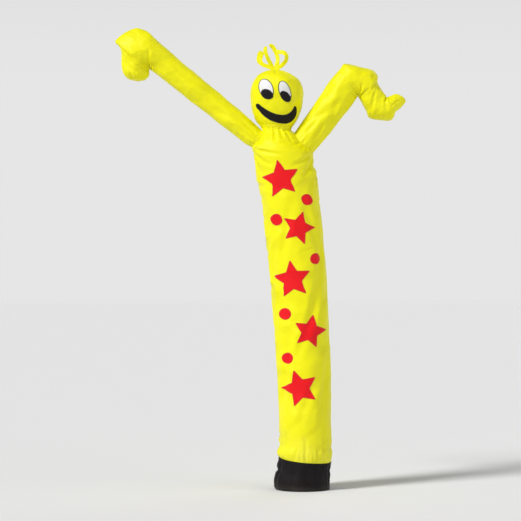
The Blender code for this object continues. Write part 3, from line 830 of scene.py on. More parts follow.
def worked_relief(skin, creases, swell, ridges, seed):
    """The creases of a cloth, its slow swell and its thin ridges."""
    relief = crease_relief(skin, creases)
    relief += unevenness(skin.points, *swell, seed)
    relief += slack_relief(skin.points, *ridges, seed + 1)
    return relief


def upright_skin(hoops, rows, sides):
    """The skin of a tube that stands. Its ruler is the height in the middle of each row."""
    table = np.array(hoops, float)
    marks = hoop_marks(table)
    along = rows(marks[-1])
    grid = np.broadcast_to(along[:, None], (len(along), sides))
    points = tube_points(table, marks, grid, back_first(sides))
    row = read_curve(table, marks, along)
    heights = (row[:, 1] + row[:, 3]) / 2
    return Skin(points, grid, np.broadcast_to(heights[:, None], grid.shape))


def even_rows(step):
    return lambda end: np.linspace(0.0, end, 1 + round(end / step))


def body_rows(end):
    """Rows that lie closer together in the shoulders."""
    bend = end - SHOULDER_LENGTH
    low = np.linspace(0.0, bend, round(bend / BODY_STEP), endpoint=False)
    return np.concatenate([low, np.linspace(bend, end, round(SHOULDER_LENGTH / SHOULDER_STEP))])


@lru_cache(maxsize=None)
def plain_body():
    """The tube without its creases, from which the arms find their seams."""
    hoops = [seam_hoop(-TUCK), seam_hoop(0.0)] + [hoop_of(level) for level in TUBE + (NECK,)]
    return upright_skin(hoops, body_rows, BODY_SIDES)


def body_side(points):
    """Below 0 inside the tube and above 0 outside it."""
    table = np.array([[level.z, level.left, level.right, level.depth] for level in TUBE + (NECK,)])
    z = points[..., 2]
    left, right, depth = (np.interp(z, table[:, 0], table[:, k]) for k in (1, 2, 3))
    across = (points[..., 0] - BASE_X - (left + right) / 2) / ((right - left) / 2)
    return np.where(z > NECK.z, 1.0, np.hypot(across, points[..., 1] / depth) - 1.0)


Shoulder = namedtuple("Shoulder", "centre axis across half depth")
# How much of an arm's length is searched for where it leaves the body, and in how many steps
ROOT_REACH, ROOT_STEPS = 0.42, 500
# How often its seam is evened out, and how much further on the arm's way is read
ROOT_SMOOTHING, ROOT_AHEAD = 6, 0.1
# Cloth this far behind a shoulder's seam is on the other side of the body
SHOULDER_BACK, NOT_THERE = -0.13, 9.0


@lru_cache(maxsize=None)
def arm_root(name):
    """Where each line of an arm leaves the body, and the arm's section there."""
    table = np.array(ARMS[name].hoops, float)
    marks = hoop_marks(table)
    turn = back_first(ARM_SIDES)
    reach = np.linspace(0.0, ROOT_REACH, ROOT_STEPS)
    grid = np.broadcast_to(reach[:, None], (ROOT_STEPS, ARM_SIDES))
    inside = body_side(tube_points(table, marks, grid, turn)) < 0
    last = ROOT_STEPS - 1 - np.argmax(inside[::-1], axis=0)
    root = smoothed(reach[last], ROOT_SMOOTHING)
    ring = tube_points(table, marks, root[None], turn)[0]
    further = tube_points(table, marks, root[None] + ROOT_AHEAD, turn)[0]
    centre = ring.mean(axis=0)
    edge_to_edge = table[1, 2:4] - table[1, 0:2]
    across = unit(edge_to_edge)
    section = Shoulder(
        centre,
        unit(further.mean(axis=0) - centre),
        np.array([across[0], 0.0, across[1]]),
        np.linalg.norm(edge_to_edge) / 2,
        table[1, 4],
    )
    return root, section


def around_shoulder(points, section):
    """Each point's angle round an arm's seam, its distance out from it, and its share of the section."""
    offset = points - section.centre
    a = offset @ section.across / section.half
    b = offset[..., 1] / section.depth
    share = np.where(offset @ section.axis > SHOULDER_BACK, np.hypot(a, b), NOT_THERE)
    return np.arctan2(b, a), (share - 1) * (section.half + section.depth) / 2, share


@lru_cache(maxsize=None)
def body_skin(slack):
    plain = plain_body()
    skin = Skin(plain.points, plain.along, plain.ruler)
    from_foot = skin.along - TUCK
    from_throat = skin.along[-1] - skin.along
    relief = worked_relief(skin, BODY_CREASES, BODY_SWELL, BODY_RIDGES, seed=11)
    relief += gathers(skin.angle, from_foot, *FOOT_GATHERS, seed=13)
    relief += gathers(skin.angle, from_throat, *THROAT_GATHERS, seed=14)
    free = np.ones_like(relief)
    for i, name in enumerate(ARMS):
        way, distance, _ = around_shoulder(skin.points, arm_root(name)[1])
        relief += gathers(way, distance, *SHOULDER_GATHERS, seed=15 + i)
        relief *= rise(distance, *SHOULDER_HELD)
        free *= rise(distance, *SHOULDER_FULL)
    relief *= slack * rise(from_foot, *FOOT_HELD) * rise(from_throat, *THROAT_HELD)
    to_right = (1 + np.sin(skin.angle)) / 2
    fullness = BODY_LEFT_FULLNESS * (1 - to_right) + BODY_RIGHT_FULLNESS * to_right
    relief += free * fullness * rise(from_foot, *FOOT_FULL) * rise(from_throat, *THROAT_FULL)
    relief -= INSIDE_SLEEVE_DEPTH * (1 - rise(from_foot, *INSIDE_SLEEVE))
    relief -= RAW_EDGE_DEPTH * (1 - rise(skin.along, 0.0, TUCK))
    skin.move_out(relief)
    return skin


@lru_cache(maxsize=None)
def arm_skin(name, slack):
    arm = ARMS[name]
    table = np.array(arm.hoops, float)
    marks = hoop_marks(table)
    root, _ = arm_root(name)
    start = root - ARM_TUCK
    share = np.linspace(0.0, 1.0, 1 + round((marks[-1] - start.mean()) / ARM_STEP))[:, None]
    along = start + share * (marks[-1] - start)
    skin = Skin(tube_points(table, marks, along, back_first(ARM_SIDES)), along, along)
    from_seam = along - root
    creases = arm.creases + tuple(crease for fan in arm.fans for crease in fan_creases(fan))
    relief = worked_relief(skin, creases, ARM_SWELL, ARM_RIDGES, seed=arm.seed)
    relief += gathers(skin.angle, from_seam, *ARM_GATHERS, seed=arm.seed + 2)
    relief *= slack * rise(from_seam, *ARM_HELD)
    hand = rise(along / marks[-1], *HAND)
    relief += (arm.fullness[0] * (1 - hand) + arm.fullness[1] * hand) * rise(from_seam, *ARM_FULL)
    skin.move_out(relief)
    return skin


@lru_cache(maxsize=None)
def head_skin(slack):
    hoops = [hoop_of(level) for level in (NECK,) + HEAD]
    skin = upright_skin(hoops, even_rows(HEAD_STEP), HEAD_SIDES)
    relief = worked_relief(skin, HEAD_CREASES, HEAD_SWELL, HEAD_RIDGES, seed=31)
    relief += gathers(skin.angle, skin.along, *HEAD_GATHERS, seed=33)
    relief *= slack * rise(skin.along, *HEAD_HELD)
    drawn = HEAD_TOP_DRAWN * rise(skin.ruler, *HEAD_TOP)
    skin.move_out(relief + HEAD_FULLNESS * rise(skin.along, *HEAD_FULL) * (1 - drawn))
    return skin


@lru_cache(maxsize=None)
def sleeve_skin(slack):
    hoops = [hoop_of(level) for level in SLEEVE] + [seam_hoop(0.0)]
    skin = upright_skin(hoops, even_rows(SLEEVE_STEP), SLEEVE_SIDES)
    from_top = skin.along[-1] - skin.along
    relief = crease_relief(skin, SLEEVE_CREASES)
    relief += unevenness(skin.points, *SLEEVE_SWELL, seed=41)
    relief += gathers(skin.angle, from_top, *SLEEVE_GATHERS, seed=42)
    # the rim stands on the floor in an even oval
    even = RIM_SLACK + (1 - RIM_SLACK) * rise(skin.along, *RIM_HELD)
    relief *= slack * rise(from_top, *SLEEVE_HELD) * even
    skin.move_out(relief + HEM_THICKNESS * (1 - rise(skin.along, *HEM)))
    skin.points[0, :, 2] = 0.0
    return skin


# Meshes -------------------------------------------------------------------------------------------


def corners(grid):
    """The four corners of every cell of a grid, in order."""
    return np.stack([grid[:-1, :-1], grid[:-1, 1:], grid[1:, 1:], grid[1:, :-1]], axis=2)


def add_to_scene(name, data):
    obj = bpy.data.objects.new(name, data)
    bpy.context.scene.collection.objects.link(obj)
    return obj


class Form:
    """Gathers grids of points and single faces into one mesh."""

    def __init__(self):
        self.points, self.faces, self.maps = [], [], []
        self.count = 0

    def add_grid(self, points, uv, out, loop=False, keep=None):
        """A sheet of cells. With loop, the last column joins the first, and uv has one column more."""
        rows, columns = points.shape[:2]
        index = self.count + np.arange(rows * columns).reshape(rows, columns)
        if loop:
            index, points, out = (joined(grid, 1) for grid in (index, points, out))
        cells, places = corners(index), corners(uv)
        sides = np.cross(points[:-1, 1:] - points[:-1, :-1], points[1:, :-1] - points[:-1, :-1])
        if (sides * out[:-1, :-1]).sum() < 0:
            cells, places = cells[..., ::-1], places[:, :, ::-1]
        if keep is not None:
            cells, places = cells[keep], places[keep]
        self.faces += cells.reshape(-1, 4).tolist()
        self.maps.append(places.reshape(-1, 2))
        self.points.append(points[:, :columns].reshape(-1, 3))
        self.count += rows * columns
        return index

    def add_tip(self, ring, point, uv, tip_uv, out):
        """Closes a ring of the mesh, given by its indices, to one point."""
        self.points.append(np.asarray(point, float)[None])
        known = np.concatenate(self.points)
        first = known[ring[0]] - point
        flip = np.cross(first, known[ring[1]] - point) @ out < 0
        for i in range(len(ring) - 1):
            face, places = [self.count, ring[i], ring[i + 1]], [tip_uv, uv[i], uv[i + 1]]
            if flip:
                face, places = face[::-1], places[::-1]
            self.faces.append([int(k) for k in face])
            self.maps.append(np.array(places, float))
        self.count += 1

    def add_cap(self, ring, out):
        """A flat face over a ring of the newest grid, turned the given way."""
        newest = self.points[-1]
        points = newest[ring - (self.count - len(newest))]
        turned = np.cross(points[1] - points[0], points[2] - points[0]) @ out < 0
        self.faces.append((ring[::-1] if turned else ring).tolist())
        self.maps.append(np.zeros((len(ring), 2)))

    def build(self, name, finish):
        """The mesh as an object, without the points that no face uses."""
        points = np.concatenate(self.points)
        used = np.zeros(len(points), bool)
        for face in self.faces:
            used[face] = True
        renumber = np.cumsum(used) - 1
        faces = [[int(renumber[k]) for k in face] for face in self.faces]
        mesh = bpy.data.meshes.new(name)
        mesh.from_pydata(points[used].tolist(), [], faces)
        layer = mesh.uv_layers.new(name="cloth")
        layer.data.foreach_set("uv", np.concatenate(self.maps).astype(np.float32).ravel())
        mesh.materials.append(finish)
        mesh.shade_smooth()
        mesh.update()
        return add_to_scene(name, mesh)


def thicken(obj, thickness, offset=-1.0):
    """Gives a sheet its thickness, inwards unless the offset says otherwise."""
    step = obj.modifiers.new("Cloth thickness", "SOLIDIFY")
    step.thickness = thickness
    step.offset = offset
    step.use_even_offset = False
    step.use_quality_normals = True


def skin_mesh(name, skin, finish, keep=None):
    """The cloth of a tube. Its map is in metres, round and along."""
    form = Form()
    last = -1 if skin.closed else None
    around = skin.radius.mean() * np.radians(360.0) * np.arange(skin.sides + 1) / skin.sides
    along = joined(skin.along, 1)
    uv = np.stack([np.broadcast_to(around, along.shape), along], axis=-1)
    index = form.add_grid(skin.points[:last], uv[:last], skin.normals[:last], loop=True, keep=keep)
    if skin.closed:
        middle = uv[-1].mean(axis=0)
        form.add_tip(index[-1], skin.points[-1, 0], uv[-2], middle, skin.normals[-1, 0])
    return form.build(name, finish)


def sweep(form, path, ups, profile, loop=False):
    """A closed outline, given across and up from the path, drawn along the path."""
    if loop:
        path, ups = joined(path), joined(ups)
        ahead = np.vstack([path[1:], path[1:2]]) - np.vstack([path[-2:-1], path[:-1]])
    else:
        ahead = np.gradient(path, axis=0)
    ahead = unit(ahead)
    side = unit(np.cross(ahead, ups))
    up = np.cross(side, ahead)
    rings = path[:, None] + side[:, None] * profile[None, :, :1] + up[:, None] * profile[None, :, 1:]
    uv = np.stack(np.meshgrid(curve_marks(joined(profile)), curve_marks(path)), axis=-1)
    middle = path[:, None] + up[:, None] * profile[:, 1].mean()
    index = form.add_grid(rings, uv, rings - middle, loop=True)
    if not loop:
        for ring, at, out in ((index[0], 0, -ahead[0]), (index[-1], -1, ahead[-1])):
            form.add_tip(ring, rings[at].mean(axis=0), uv[at], uv[at].mean(axis=0), out)


# A folded seam: how far it stands up, how high its edges are and how far in its top begins, as shares
# of that, and how deep its underside is in the cloth below
SEAM_HEIGHT, SEAM_EDGE, SEAM_SHOULDER, SEAM_SUNK = 0.0014, 0.35, 0.9, 0.0006
# Its two rows of stitches, as a share of its width to either side
STITCH_ROWS = (-0.30, 0.30)
# One stitch: rings of a bead by their place along it and their share of its thickness
STITCH_RINGS = ((-0.5, 0.35), (-0.3, 0.9), (0.0, 1.0), (0.3, 0.9), (0.5, 0.35))
STITCH_SIDES = 5
# Its length as a share of the pitch, the thread's thickness and how far its middle stands up
STITCH_SHARE, THREAD, STITCH_LIFT = 0.72, 0.0010, 0.0001


def seam_profile(width):
    """A low strip with rounded shoulders, its underside just in the cloth below."""
    half, edge = width / 2, SEAM_HEIGHT * SEAM_EDGE
    top = half - SEAM_HEIGHT * SEAM_SHOULDER
    right = [(top, SEAM_HEIGHT), (half, edge), (half, -SEAM_SUNK)]
    return np.array([(-x, z) for x, z in reversed(right)] + right)


def round_profile(width, height, sides=8):
    turn = round_turns(sides)
    return np.stack([width / 2 * np.cos(turn), height / 2 * np.sin(turn)], axis=-1)


def add_stitches(form, path, ups, pitch, shift=0.0, loop=False):
    """A row of stitches beside a path: each a short bead of thread that dips in at both ends."""
    if loop:
        path, ups = joined(path), joined(ups)
    marks = curve_marks(path)
    places = np.arange(pitch / 2, marks[-1], pitch)
    points, rises = read_line(path, marks, places), unit(read_line(ups, marks, places))
    aheads = unit(np.gradient(points, axis=0))
    turn = round_turns(STITCH_SIDES)
    for point, ahead, up, side in zip(points, aheads, rises, unit(np.cross(aheads, rises))):
        rings = []
        for place, share in STITCH_RINGS:
            middle = point + ahead * place * pitch * STITCH_SHARE + side * shift
            middle = middle + up * (STITCH_LIFT - THREAD * 0.5 * (2 * place) ** 4)
            wheel = side * np.cos(turn)[:, None] + up * np.sin(turn)[:, None]
            rings.append(middle + wheel * share * THREAD / 2)
        rings = np.array(rings)
        uv = np.zeros((len(STITCH_RINGS), STITCH_SIDES + 1, 2))
        index = form.add_grid(rings, uv, rings - rings.mean(axis=1, keepdims=True), loop=True)
        form.add_cap(index[0, :-1], -ahead)
        form.add_cap(index[-1, :-1], ahead)


def sew_on(obj, node, with_pieces=()):
    """Says what a finished piece rides on, and hides the solid that it stands for."""
    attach(obj, BODY)
    if node:
        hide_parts(node)
    return obj


# Finishes -----------------------------------------------------------------------------------------

# The flat facets that stored cloth keeps: each way across the cloth, and how wide its facets are
FACETS = (
    ((0.62, 0.33, 0.71), 0.047),
    ((-0.48, 0.52, 0.70), 0.071),
    ((0.81, -0.55, 0.20), 0.059),
    ((0.21, 0.70, -0.68), 0.103),
    ((-0.35, -0.28, 0.89), 0.137),
)
# How far their creases wander, and the scale of that
FACET_WANDER, FACET_WANDER_SCALE = 0.09, 4.0
# The patches in which they show: scale, the levels they fade between, and a step from way to way
FACET_PATCHES, FACET_FADE, FACET_STEP = 3.3, (0.40, 0.62), (0.7, 0.3)

# Ripstop nylon: the cells of its thicker threads, how thick these look, and the pitch of its weave
RIPSTOP_CELL, RIPSTOP_THREAD, NYLON_PITCH = 0.007, 0.0009, 0.0011
# The scales of its broad patches and its small spots, and the levels at which both show
NYLON_BROAD, NYLON_BROAD_LEVELS, NYLON_SMALL, NYLON_SMALL_LEVELS = 3.1, (0.3, 0.7), 38.0, (0.25, 0.75)
# How much darker the patches are, and then its thicker threads and its spots, by share and shade
NYLON_PATCHES, NYLON_LINES, NYLON_MOTTLE = 0.95, (0.30, 0.80), (0.08, 0.82)
# How much dust it has near the floor, between what heights that fades, and the levels of its patches
NYLON_DUST, NYLON_DUST_HEIGHTS, NYLON_DUST_LEVELS = 0.20, (0.20, 0.80), (0.35, 0.75)
# How much rougher its spots are, how steep its facets and small crinkles are, and what the trim has
# of these; then the height and the strength of its thicker threads and of its weave
NYLON_ROUGHER, FACET_STEEP, CRINKLE_STEEP, TRIM_CRINKLE = 0.16, 0.085, 0.0011, 0.8
RIPSTOP_RELIEF, NYLON_RELIEF = (0.00022, 0.5), (0.00006, 0.4)

# Coated cloth: the pitch of its weave, how much paler its patches are, and how much paler its threads'
# tops are painted, a painted highlight where the raised weave would catch the light
COATED_PITCH, COATED_PATCHES, COATED_WEAVE_HIGHLIGHT = 0.0022, 1.9, (0.08, 2.4)
# The scale of its patches and the levels at which they show
COATED_BROAD, COATED_BROAD_LEVELS = 6.0, (0.3, 0.7)
# Its scuffs: their scale, their colour, how much they show, at what levels, and where they are rough
SCUFF_SCALE, SCUFF, SCUFF_SHARE = 46.0, (0.10, 0.098, 0.095), 0.06
SCUFF_LEVELS, SCUFF_ROUGH_LEVELS = (0.60, 0.74), (0.35, 0.72)
# Its dust on the floor, further up, where the one has become the other, and the levels of its patches
COATED_DUST, COATED_DUST_ABOVE, COATED_DUST_HEIGHT = 0.10, 0.006, 0.05
COATED_DUST_LEVELS = (0.30, 0.72)
# How rough it is, and the height and strength of its patches, its scuffs and its weave
COATED_ROUGHNESS, COATED_GLOSS = (0.46, 0.66), 0.10
COATED_RELIEF = ((0.0040, 0.22), (0.0010, 0.25), (0.00030, 0.55))

# Thread: the length and lean of its twist, and how dark the painted shade is between its strands, where
# the grooves of the twist would lie in shade
TWIST, TWIST_LEAN, TWIST_PAINTED_SHADE = 0.0012, 0.25, 0.74
# The height and strength of its strands, and how rough it is between and on them
TWIST_RELIEF, TWIST_ROUGHNESS = (0.0004, 0.8), (0.62, 0.45)

# The two colours that a mix starts from, since other sockets have the same names
MIX_ONE, MIX_OTHER = 6, 7


class Finish:
    """A material, built up from nodes."""

    def __init__(self, name):
        self.material = bpy.data.materials.new(name)
        self.material.use_nodes = True
        self.tree = self.material.node_tree
        self.shader = self.tree.nodes["Principled BSDF"]

    def node(self, kind, inputs=(), **settings):
        """A new node. An input that is a socket is linked, and any other is set."""
        made = self.tree.nodes.new(kind)
        for key, value in settings.items():
            setattr(made, key, value)
        for key, value in dict(inputs).items():
            self.feed(made.inputs[key], value)
        return made

    def feed(self, socket, value):
        if isinstance(value, bpy.types.NodeSocket):
            self.tree.links.new(value, socket)
        else:
            socket.default_value = value

    def math(self, operation, *values):
        return self.node("ShaderNodeMath", enumerate(values), operation=operation).outputs[0]

    def vector(self, operation, *values):
        return self.node("ShaderNodeVectorMath", enumerate(values), operation=operation)

    def ramp(self, value, low, high, start=0.0, end=1.0):
        """value carried from the range low to high onto the range start to end, eased."""
        inputs = {"Value": value, "From Min": low, "From Max": high, "To Min": start, "To Max": end}
        made = self.node("ShaderNodeMapRange", inputs, interpolation_type="SMOOTHSTEP")
        return made.outputs["Result"]

    def mix(self, share, one, other):
        made = self.node("ShaderNodeMix", data_type="RGBA")
        self.feed(made.inputs["Factor"], share)
        self.feed(made.inputs[MIX_ONE], one)
        self.feed(made.inputs[MIX_OTHER], other)
        return made.outputs[2]

    def place(self):
        """Where a point is, in metres."""
        return self.node("ShaderNodeTexCoord").outputs["Object"]

    def height(self, where):
        return self.node("ShaderNodeSeparateXYZ", {0: where}).outputs[2]

    def cloth_map(self):
        """Where a point is on the flat cloth, in metres."""
        return self.node("ShaderNodeUVMap", uv_map="cloth").outputs["UV"]

    def noise(self, where, scale, detail, roughness=0.5, distortion=0.0):
        inputs = {
            "Vector": where,
            "Scale": scale,
            "Detail": detail,
            "Roughness": roughness,
            "Distortion": distortion,
        }
        return self.node("ShaderNodeTexNoise", inputs).outputs["Fac"]

    def axes(self, where, scale):
        inputs = {0: where, "Scale": scale}
        scaled = self.node("ShaderNodeVectorMath", inputs, operation="SCALE").outputs[0]
        return self.node("ShaderNodeSeparateXYZ", {0: scaled}).outputs

    def grid_lines(self, where, cell, line):
        """1 on the thicker threads of a square grid and 0 between them."""
        parts = self.axes(where, 1 / cell)
        lines = [
            self.ramp(self.math("PINGPONG", parts[k], 0.5), 0.0, line / cell, 1.0, 0.0)
            for k in (0, 1)
        ]
        return self.math("MAXIMUM", *lines)

    def plain_weave(self, where, pitch):
        """Threads that pass over and under each other."""
        parts = self.axes(where, math.pi / pitch)
        waves = [self.math("SINE", parts[k]) for k in (0, 1)]
        return self.math("ADD", self.math("MULTIPLY", *waves), 1.0)

    def facets(self, where, ways):
        """A height made of flat facets that meet in straight soft creases, fading in and out."""
        inputs = {"Vector": where, "Scale": FACET_WANDER_SCALE, "Detail": 1.0}
        wander = self.node("ShaderNodeTexNoise", inputs).outputs["Color"]
        bent = self.vector("MULTIPLY_ADD", wander, (FACET_WANDER,) * 3, where).outputs[0]
        total = None
        for i, (way, wide) in enumerate(ways):
            along = self.vector("DOT_PRODUCT", bent, way).outputs["Value"]
            height = self.math("PINGPONG", along, wide)
            moved = self.vector("ADD", where, (FACET_STEP[0] * i, FACET_STEP[1] * i, 0.0)).outputs[0]
            strength = self.ramp(self.noise(moved, FACET_PATCHES, detail=1.0), *FACET_FADE)
            height = self.math("MULTIPLY", height, strength)
            total = height if total is None else self.math("ADD", total, height)
        return total

    def bump(self, height, distance, strength, onto=None, steep=None):
        if steep is not None:
            height = self.math("MULTIPLY", height, steep)
        inputs = {"Height": height, "Distance": distance, "Strength": strength}
        if onto is not None:
            inputs["Normal"] = onto
        return self.node("ShaderNodeBump", inputs).outputs["Normal"]

    def surface(self, tone, rough, normal=None, gloss=None, sheen=None):
        """Gives the surface the looks that are named, and hands over the material."""
        looks = {
            "Base Color": tone,
            "Roughness": rough,
            "Normal": normal,
            "Specular IOR Level": gloss,
            "Sheen Weight": sheen,
        }
        for key, value in looks.items():
            if value is not None:
                self.feed(self.shader.inputs[key], value)
        return self.material


def opaque(rgb):
    return (*rgb, 1.0)


def shade(rgb, by):
    return tuple(min(channel * by, 1.0) for channel in rgb)


@lru_cache(maxsize=None)
def nylon(name, rgb, dust=None, roughness=0.42, crinkle=1.0, gloss=0.26):
    """Ripstop nylon: a fine weave with a grid of thicker threads, crinkled and a little glossy."""
    finish = Finish(name)
    flat, place = finish.cloth_map(), finish.place()
    lines = finish.grid_lines(flat, RIPSTOP_CELL, RIPSTOP_THREAD)
    weave = finish.plain_weave(flat, NYLON_PITCH)
    broad = finish.noise(place, NYLON_BROAD, detail=4.0, roughness=0.6)
    small = finish.noise(place, NYLON_SMALL, detail=4.0, roughness=0.55, distortion=0.4)
    patches = finish.ramp(broad, *NYLON_BROAD_LEVELS)
    tone = finish.mix(patches, opaque(shade(rgb, NYLON_PATCHES)), opaque(rgb))
    for what, (share, by) in ((lines, NYLON_LINES), (small, NYLON_MOTTLE)):
        tone = finish.mix(finish.math("MULTIPLY", what, share), tone, opaque(shade(rgb, by)))
    if dust is not None:
        near_floor = finish.ramp(finish.height(place), *NYLON_DUST_HEIGHTS, NYLON_DUST, 0.0)
        patchy = finish.math("MULTIPLY", near_floor, finish.ramp(broad, *NYLON_DUST_LEVELS))
        tone = finish.mix(patchy, tone, opaque(dust))
    rough = finish.ramp(small, *NYLON_SMALL_LEVELS, roughness, roughness + NYLON_ROUGHER)
    normal = finish.bump(finish.facets(place, FACETS), 1.0, 1.0, steep=FACET_STEEP * crinkle)
    normal = finish.bump(small, 1.0, 1.0, normal, steep=CRINKLE_STEEP * crinkle)
    normal = finish.bump(lines, *RIPSTOP_RELIEF, normal)
    normal = finish.bump(weave, *NYLON_RELIEF, normal)
    return finish.surface(tone, rough, normal, gloss=gloss)


def trim_nylon(name, rgb, roughness=0.46, gloss=0.26):
    """The nylon of the sewn-on pieces, which are too small to crinkle as much."""
    return nylon(name, rgb, roughness=roughness, crinkle=TRIM_CRINKLE, gloss=gloss)


@lru_cache(maxsize=None)
def coated_cloth(name, rgb, dust):
    """Heavy black cloth with a rubbery coat over its coarse weave, scuffed and dusty near the floor."""
    finish = Finish(name)
    flat, place = finish.cloth_map(), finish.place()
    weave = finish.plain_weave(flat, COATED_PITCH)
    broad = finish.noise(place, COATED_BROAD, detail=5.0, roughness=0.62)
    scuffs = finish.noise(place, SCUFF_SCALE, detail=6.0, roughness=0.7, distortion=1.2)
    heights = (0.0, COATED_DUST_HEIGHT)
    near_floor = finish.ramp(finish.height(place), *heights, COATED_DUST, COATED_DUST_ABOVE)
    dusty = finish.math("MULTIPLY", near_floor, finish.ramp(broad, *COATED_DUST_LEVELS))
    rubbed = finish.ramp(scuffs, *SCUFF_LEVELS, 0.0, SCUFF_SHARE)
    share, by = COATED_WEAVE_HIGHLIGHT
    patches = finish.ramp(broad, *COATED_BROAD_LEVELS)
    tone = finish.mix(patches, opaque(rgb), opaque(shade(rgb, COATED_PATCHES)))
    # Painted highlight: the raised tops of the weave are made paler, as if they caught the light
    tone = finish.mix(finish.math("MULTIPLY", weave, share), tone, opaque(shade(rgb, by)))
    tone = finish.mix(rubbed, tone, opaque(SCUFF))
    tone = finish.mix(dusty, tone, opaque(dust))
    rough = finish.ramp(scuffs, *SCUFF_ROUGH_LEVELS, *COATED_ROUGHNESS)
    normal = None
    for height, relief in zip((broad, scuffs, weave), COATED_RELIEF):
        normal = finish.bump(height, *relief, normal)
    return finish.surface(tone, rough, normal, gloss=COATED_GLOSS)


@lru_cache(maxsize=None)
def thread(name, rgb, sheen=0.2):
    """Twisted polyester thread, or the close stitches of a border."""
    finish = Finish(name)
    parts = finish.axes(finish.cloth_map(), 2 * math.pi / TWIST)
    lean = finish.math("ADD", parts[1], finish.math("MULTIPLY", parts[0], TWIST_LEAN))
    strands = finish.math("MULTIPLY", finish.math("ADD", finish.math("SINE", lean), 1.0), 0.5)
    # Painted shade: the colour darkens between the strands, in the grooves that the twist would shade
    tone = finish.mix(strands, opaque(shade(rgb, TWIST_PAINTED_SHADE)), opaque(rgb))
    rough = finish.ramp(strands, 0.0, 1.0, *TWIST_ROUGHNESS)
    return finish.surface(tone, rough, finish.bump(strands, *TWIST_RELIEF), sheen=sheen)


def finish_named(kind):
    """A finish in the colours that are set. Each is made once, when the first piece asks for it."""
    colours = bpy.context.scene.dancer_colours
    rgb = {key: tuple(getattr(colours, key)) for key in DancerColours.__annotations__}
    made = {
        "yellow nylon": lambda: nylon("yellow ripstop nylon", rgb["yellow"], rgb["dust"]),
        "yellow ribbon": lambda: nylon("yellow ribbon nylon", rgb["yellow"], crinkle=0.3),
        "red nylon": lambda: trim_nylon("red ripstop nylon", rgb["red"], gloss=0.2),
        "black nylon": lambda: trim_nylon("black ripstop nylon", rgb["black"], 0.5, gloss=0.16),
        "white nylon": lambda: trim_nylon("white ripstop nylon", rgb["white"]),
        "coated cloth": lambda: coated_cloth("black coated cloth", rgb["sleeve"], rgb["dust"]),
        "yellow thread": lambda: thread("yellow thread", shade(rgb["yellow"], 0.86)),
        "red thread": lambda: thread("red thread", shade(rgb["red"], 0.92)),
        "black thread": lambda: thread("black thread", rgb["black"], sheen=0.02),
    }
    return made[kind]()


# Pieces -------------------------------------------------------------------------------------------

# What a piece is sewn from: the slot and the finish of its cloth, and the finish of its thread
Stuff = namedtuple("Stuff", "slot cloth thread")
YELLOW = Stuff("yellow_nylon", "yellow nylon", "yellow thread")
RIBBON = Stuff("yellow_nylon", "yellow ribbon", "yellow thread")
COATED = Stuff("black_coated_cloth", "coated cloth", "black thread")
RED = Stuff("red_nylon", "red nylon", "red thread")
WHITE = Stuff("white_nylon", "white nylon", "black thread")
BLACK = Stuff("black_nylon", "black nylon", "black thread")

# Where the seams run along the tubes, and the points along them
BACK_SEAM, ARM_SEAM, HEAD_SEAMS = 180.0, 150.0, (-90.0, 90.0)
BODY_SEAM_POINTS, ARM_SEAM_POINTS, HEAD_SEAM_POINTS = 260, 190, 110
# The height where the body's long seam begins, and the first row of the others
BODY_SEAM_Z, SEAM_ROW = 0.236, 1.5
# How many rows before the end of the cloth each of them ends
BODY_SEAM_END, ARM_SEAM_END, HEAD_SEAM_END = 2.0, 3.0, 2.2
# How far off the body a shoulder's seam lies on the arm's cloth
SHOULDER_SEAM_OFF = 0.001
# The sleeve's hems: heights of the lower one's stitches, and the upper one's measured from the edge
LOWER_HEM, UPPER_HEM = (0.0175, 0.0225), (0.0045, 0.0115)
# How much longer the hems' stitches are than the others, and how far they stand off
HEM_STITCH, HEM_LIFT = 1.3, 0.0002

# The points along a ribbon, in its rounded end and across it
RIBBON_ROWS, RIBBON_END_ROWS, RIBBON_COLUMNS = 60, 9, 9
# The rounded end: its length, but at most this share of the width, and how it narrows
RIBBON_TIP, RIBBON_TIP_SHARE, RIBBON_TIP_TURN, RIBBON_TIP_FULL = 0.008, 0.4, 78.0, 0.7
# How high a ribbon is cupped, and its ripple: height, waves along it and slant across it
RIBBON_CUP, RIPPLE, RIPPLE_WAVES, RIPPLE_SLANT = 0.0016, 0.0004, 130, 2
# The width and the thickness of its rolled hem
RIBBON_HEM = (0.0030, 0.0022)

# How far the trim lies off its cloth, the pupils off the whites and the mouth off the head
TRIM_LIFT, PUPIL_LIFT, MOUTH_LIFT = 0.0003, 0.0005, 0.0009
# The close stitching over an edge: how thick it is, how deep it lies, and the sides of its outline
BORDER_THICKNESS, BORDER_SUNK, BORDER_SIDES = 0.0026, 0.0004, 10
# The points round an oval and a spot, and from point to point of a star, whose tips lose a little
OVAL_SIDES, SPOT_SIDES, STAR_SPACING, STAR_TIP, STAR_SMOOTHING = 72, 56, 0.0036, 1.02, 2
# The rings of cells in each, and the mouth's rows and columns
OVAL_RINGS, SPOT_RINGS, STAR_RINGS = 16, 9, 20
MOUTH_ROWS, MOUTH_COLUMNS = 120, 24
# A flat piece fills at least this share of the upright cut round it
LEAST_SHARE = 0.301


class Sewing:
    """The folded seams of a piece, and the stitches in them."""

    def __init__(self, cloth):
        self.cloth = cloth
        self.seams, self.threads = Form(), Form()

    def add_seam(self, path, ups, loop=False):
        """A folded seam with its two rows of stitches."""
        sweep(self.seams, path, ups, seam_profile(self.cloth.seam), loop)
        for row in STITCH_ROWS:
            shift = row * self.cloth.seam
            add_stitches(self.threads, path + ups * SEAM_HEIGHT, ups, self.cloth.stitch, shift, loop)

    def build(self, name, stuff):
        """The seams and the stitches, as two joined meshes."""
        seams = self.seams.build(f"{name}_seams", finish_named(stuff.cloth))
        stitches = self.threads.build(f"{name}_stitches", finish_named(stuff.thread))
        return [sew_on(piece, None) for piece in (seams, stitches)]


def line_up(skin, turn, rows):
    """The points and directions along a tube."""
    return skin.at(np.full(len(rows), turn), rows)


def ring_at(skin, row, lift=0.0):
    """The points and directions once round a tube."""
    return skin.at(skin.turn, np.full(skin.sides, float(row)), lift)


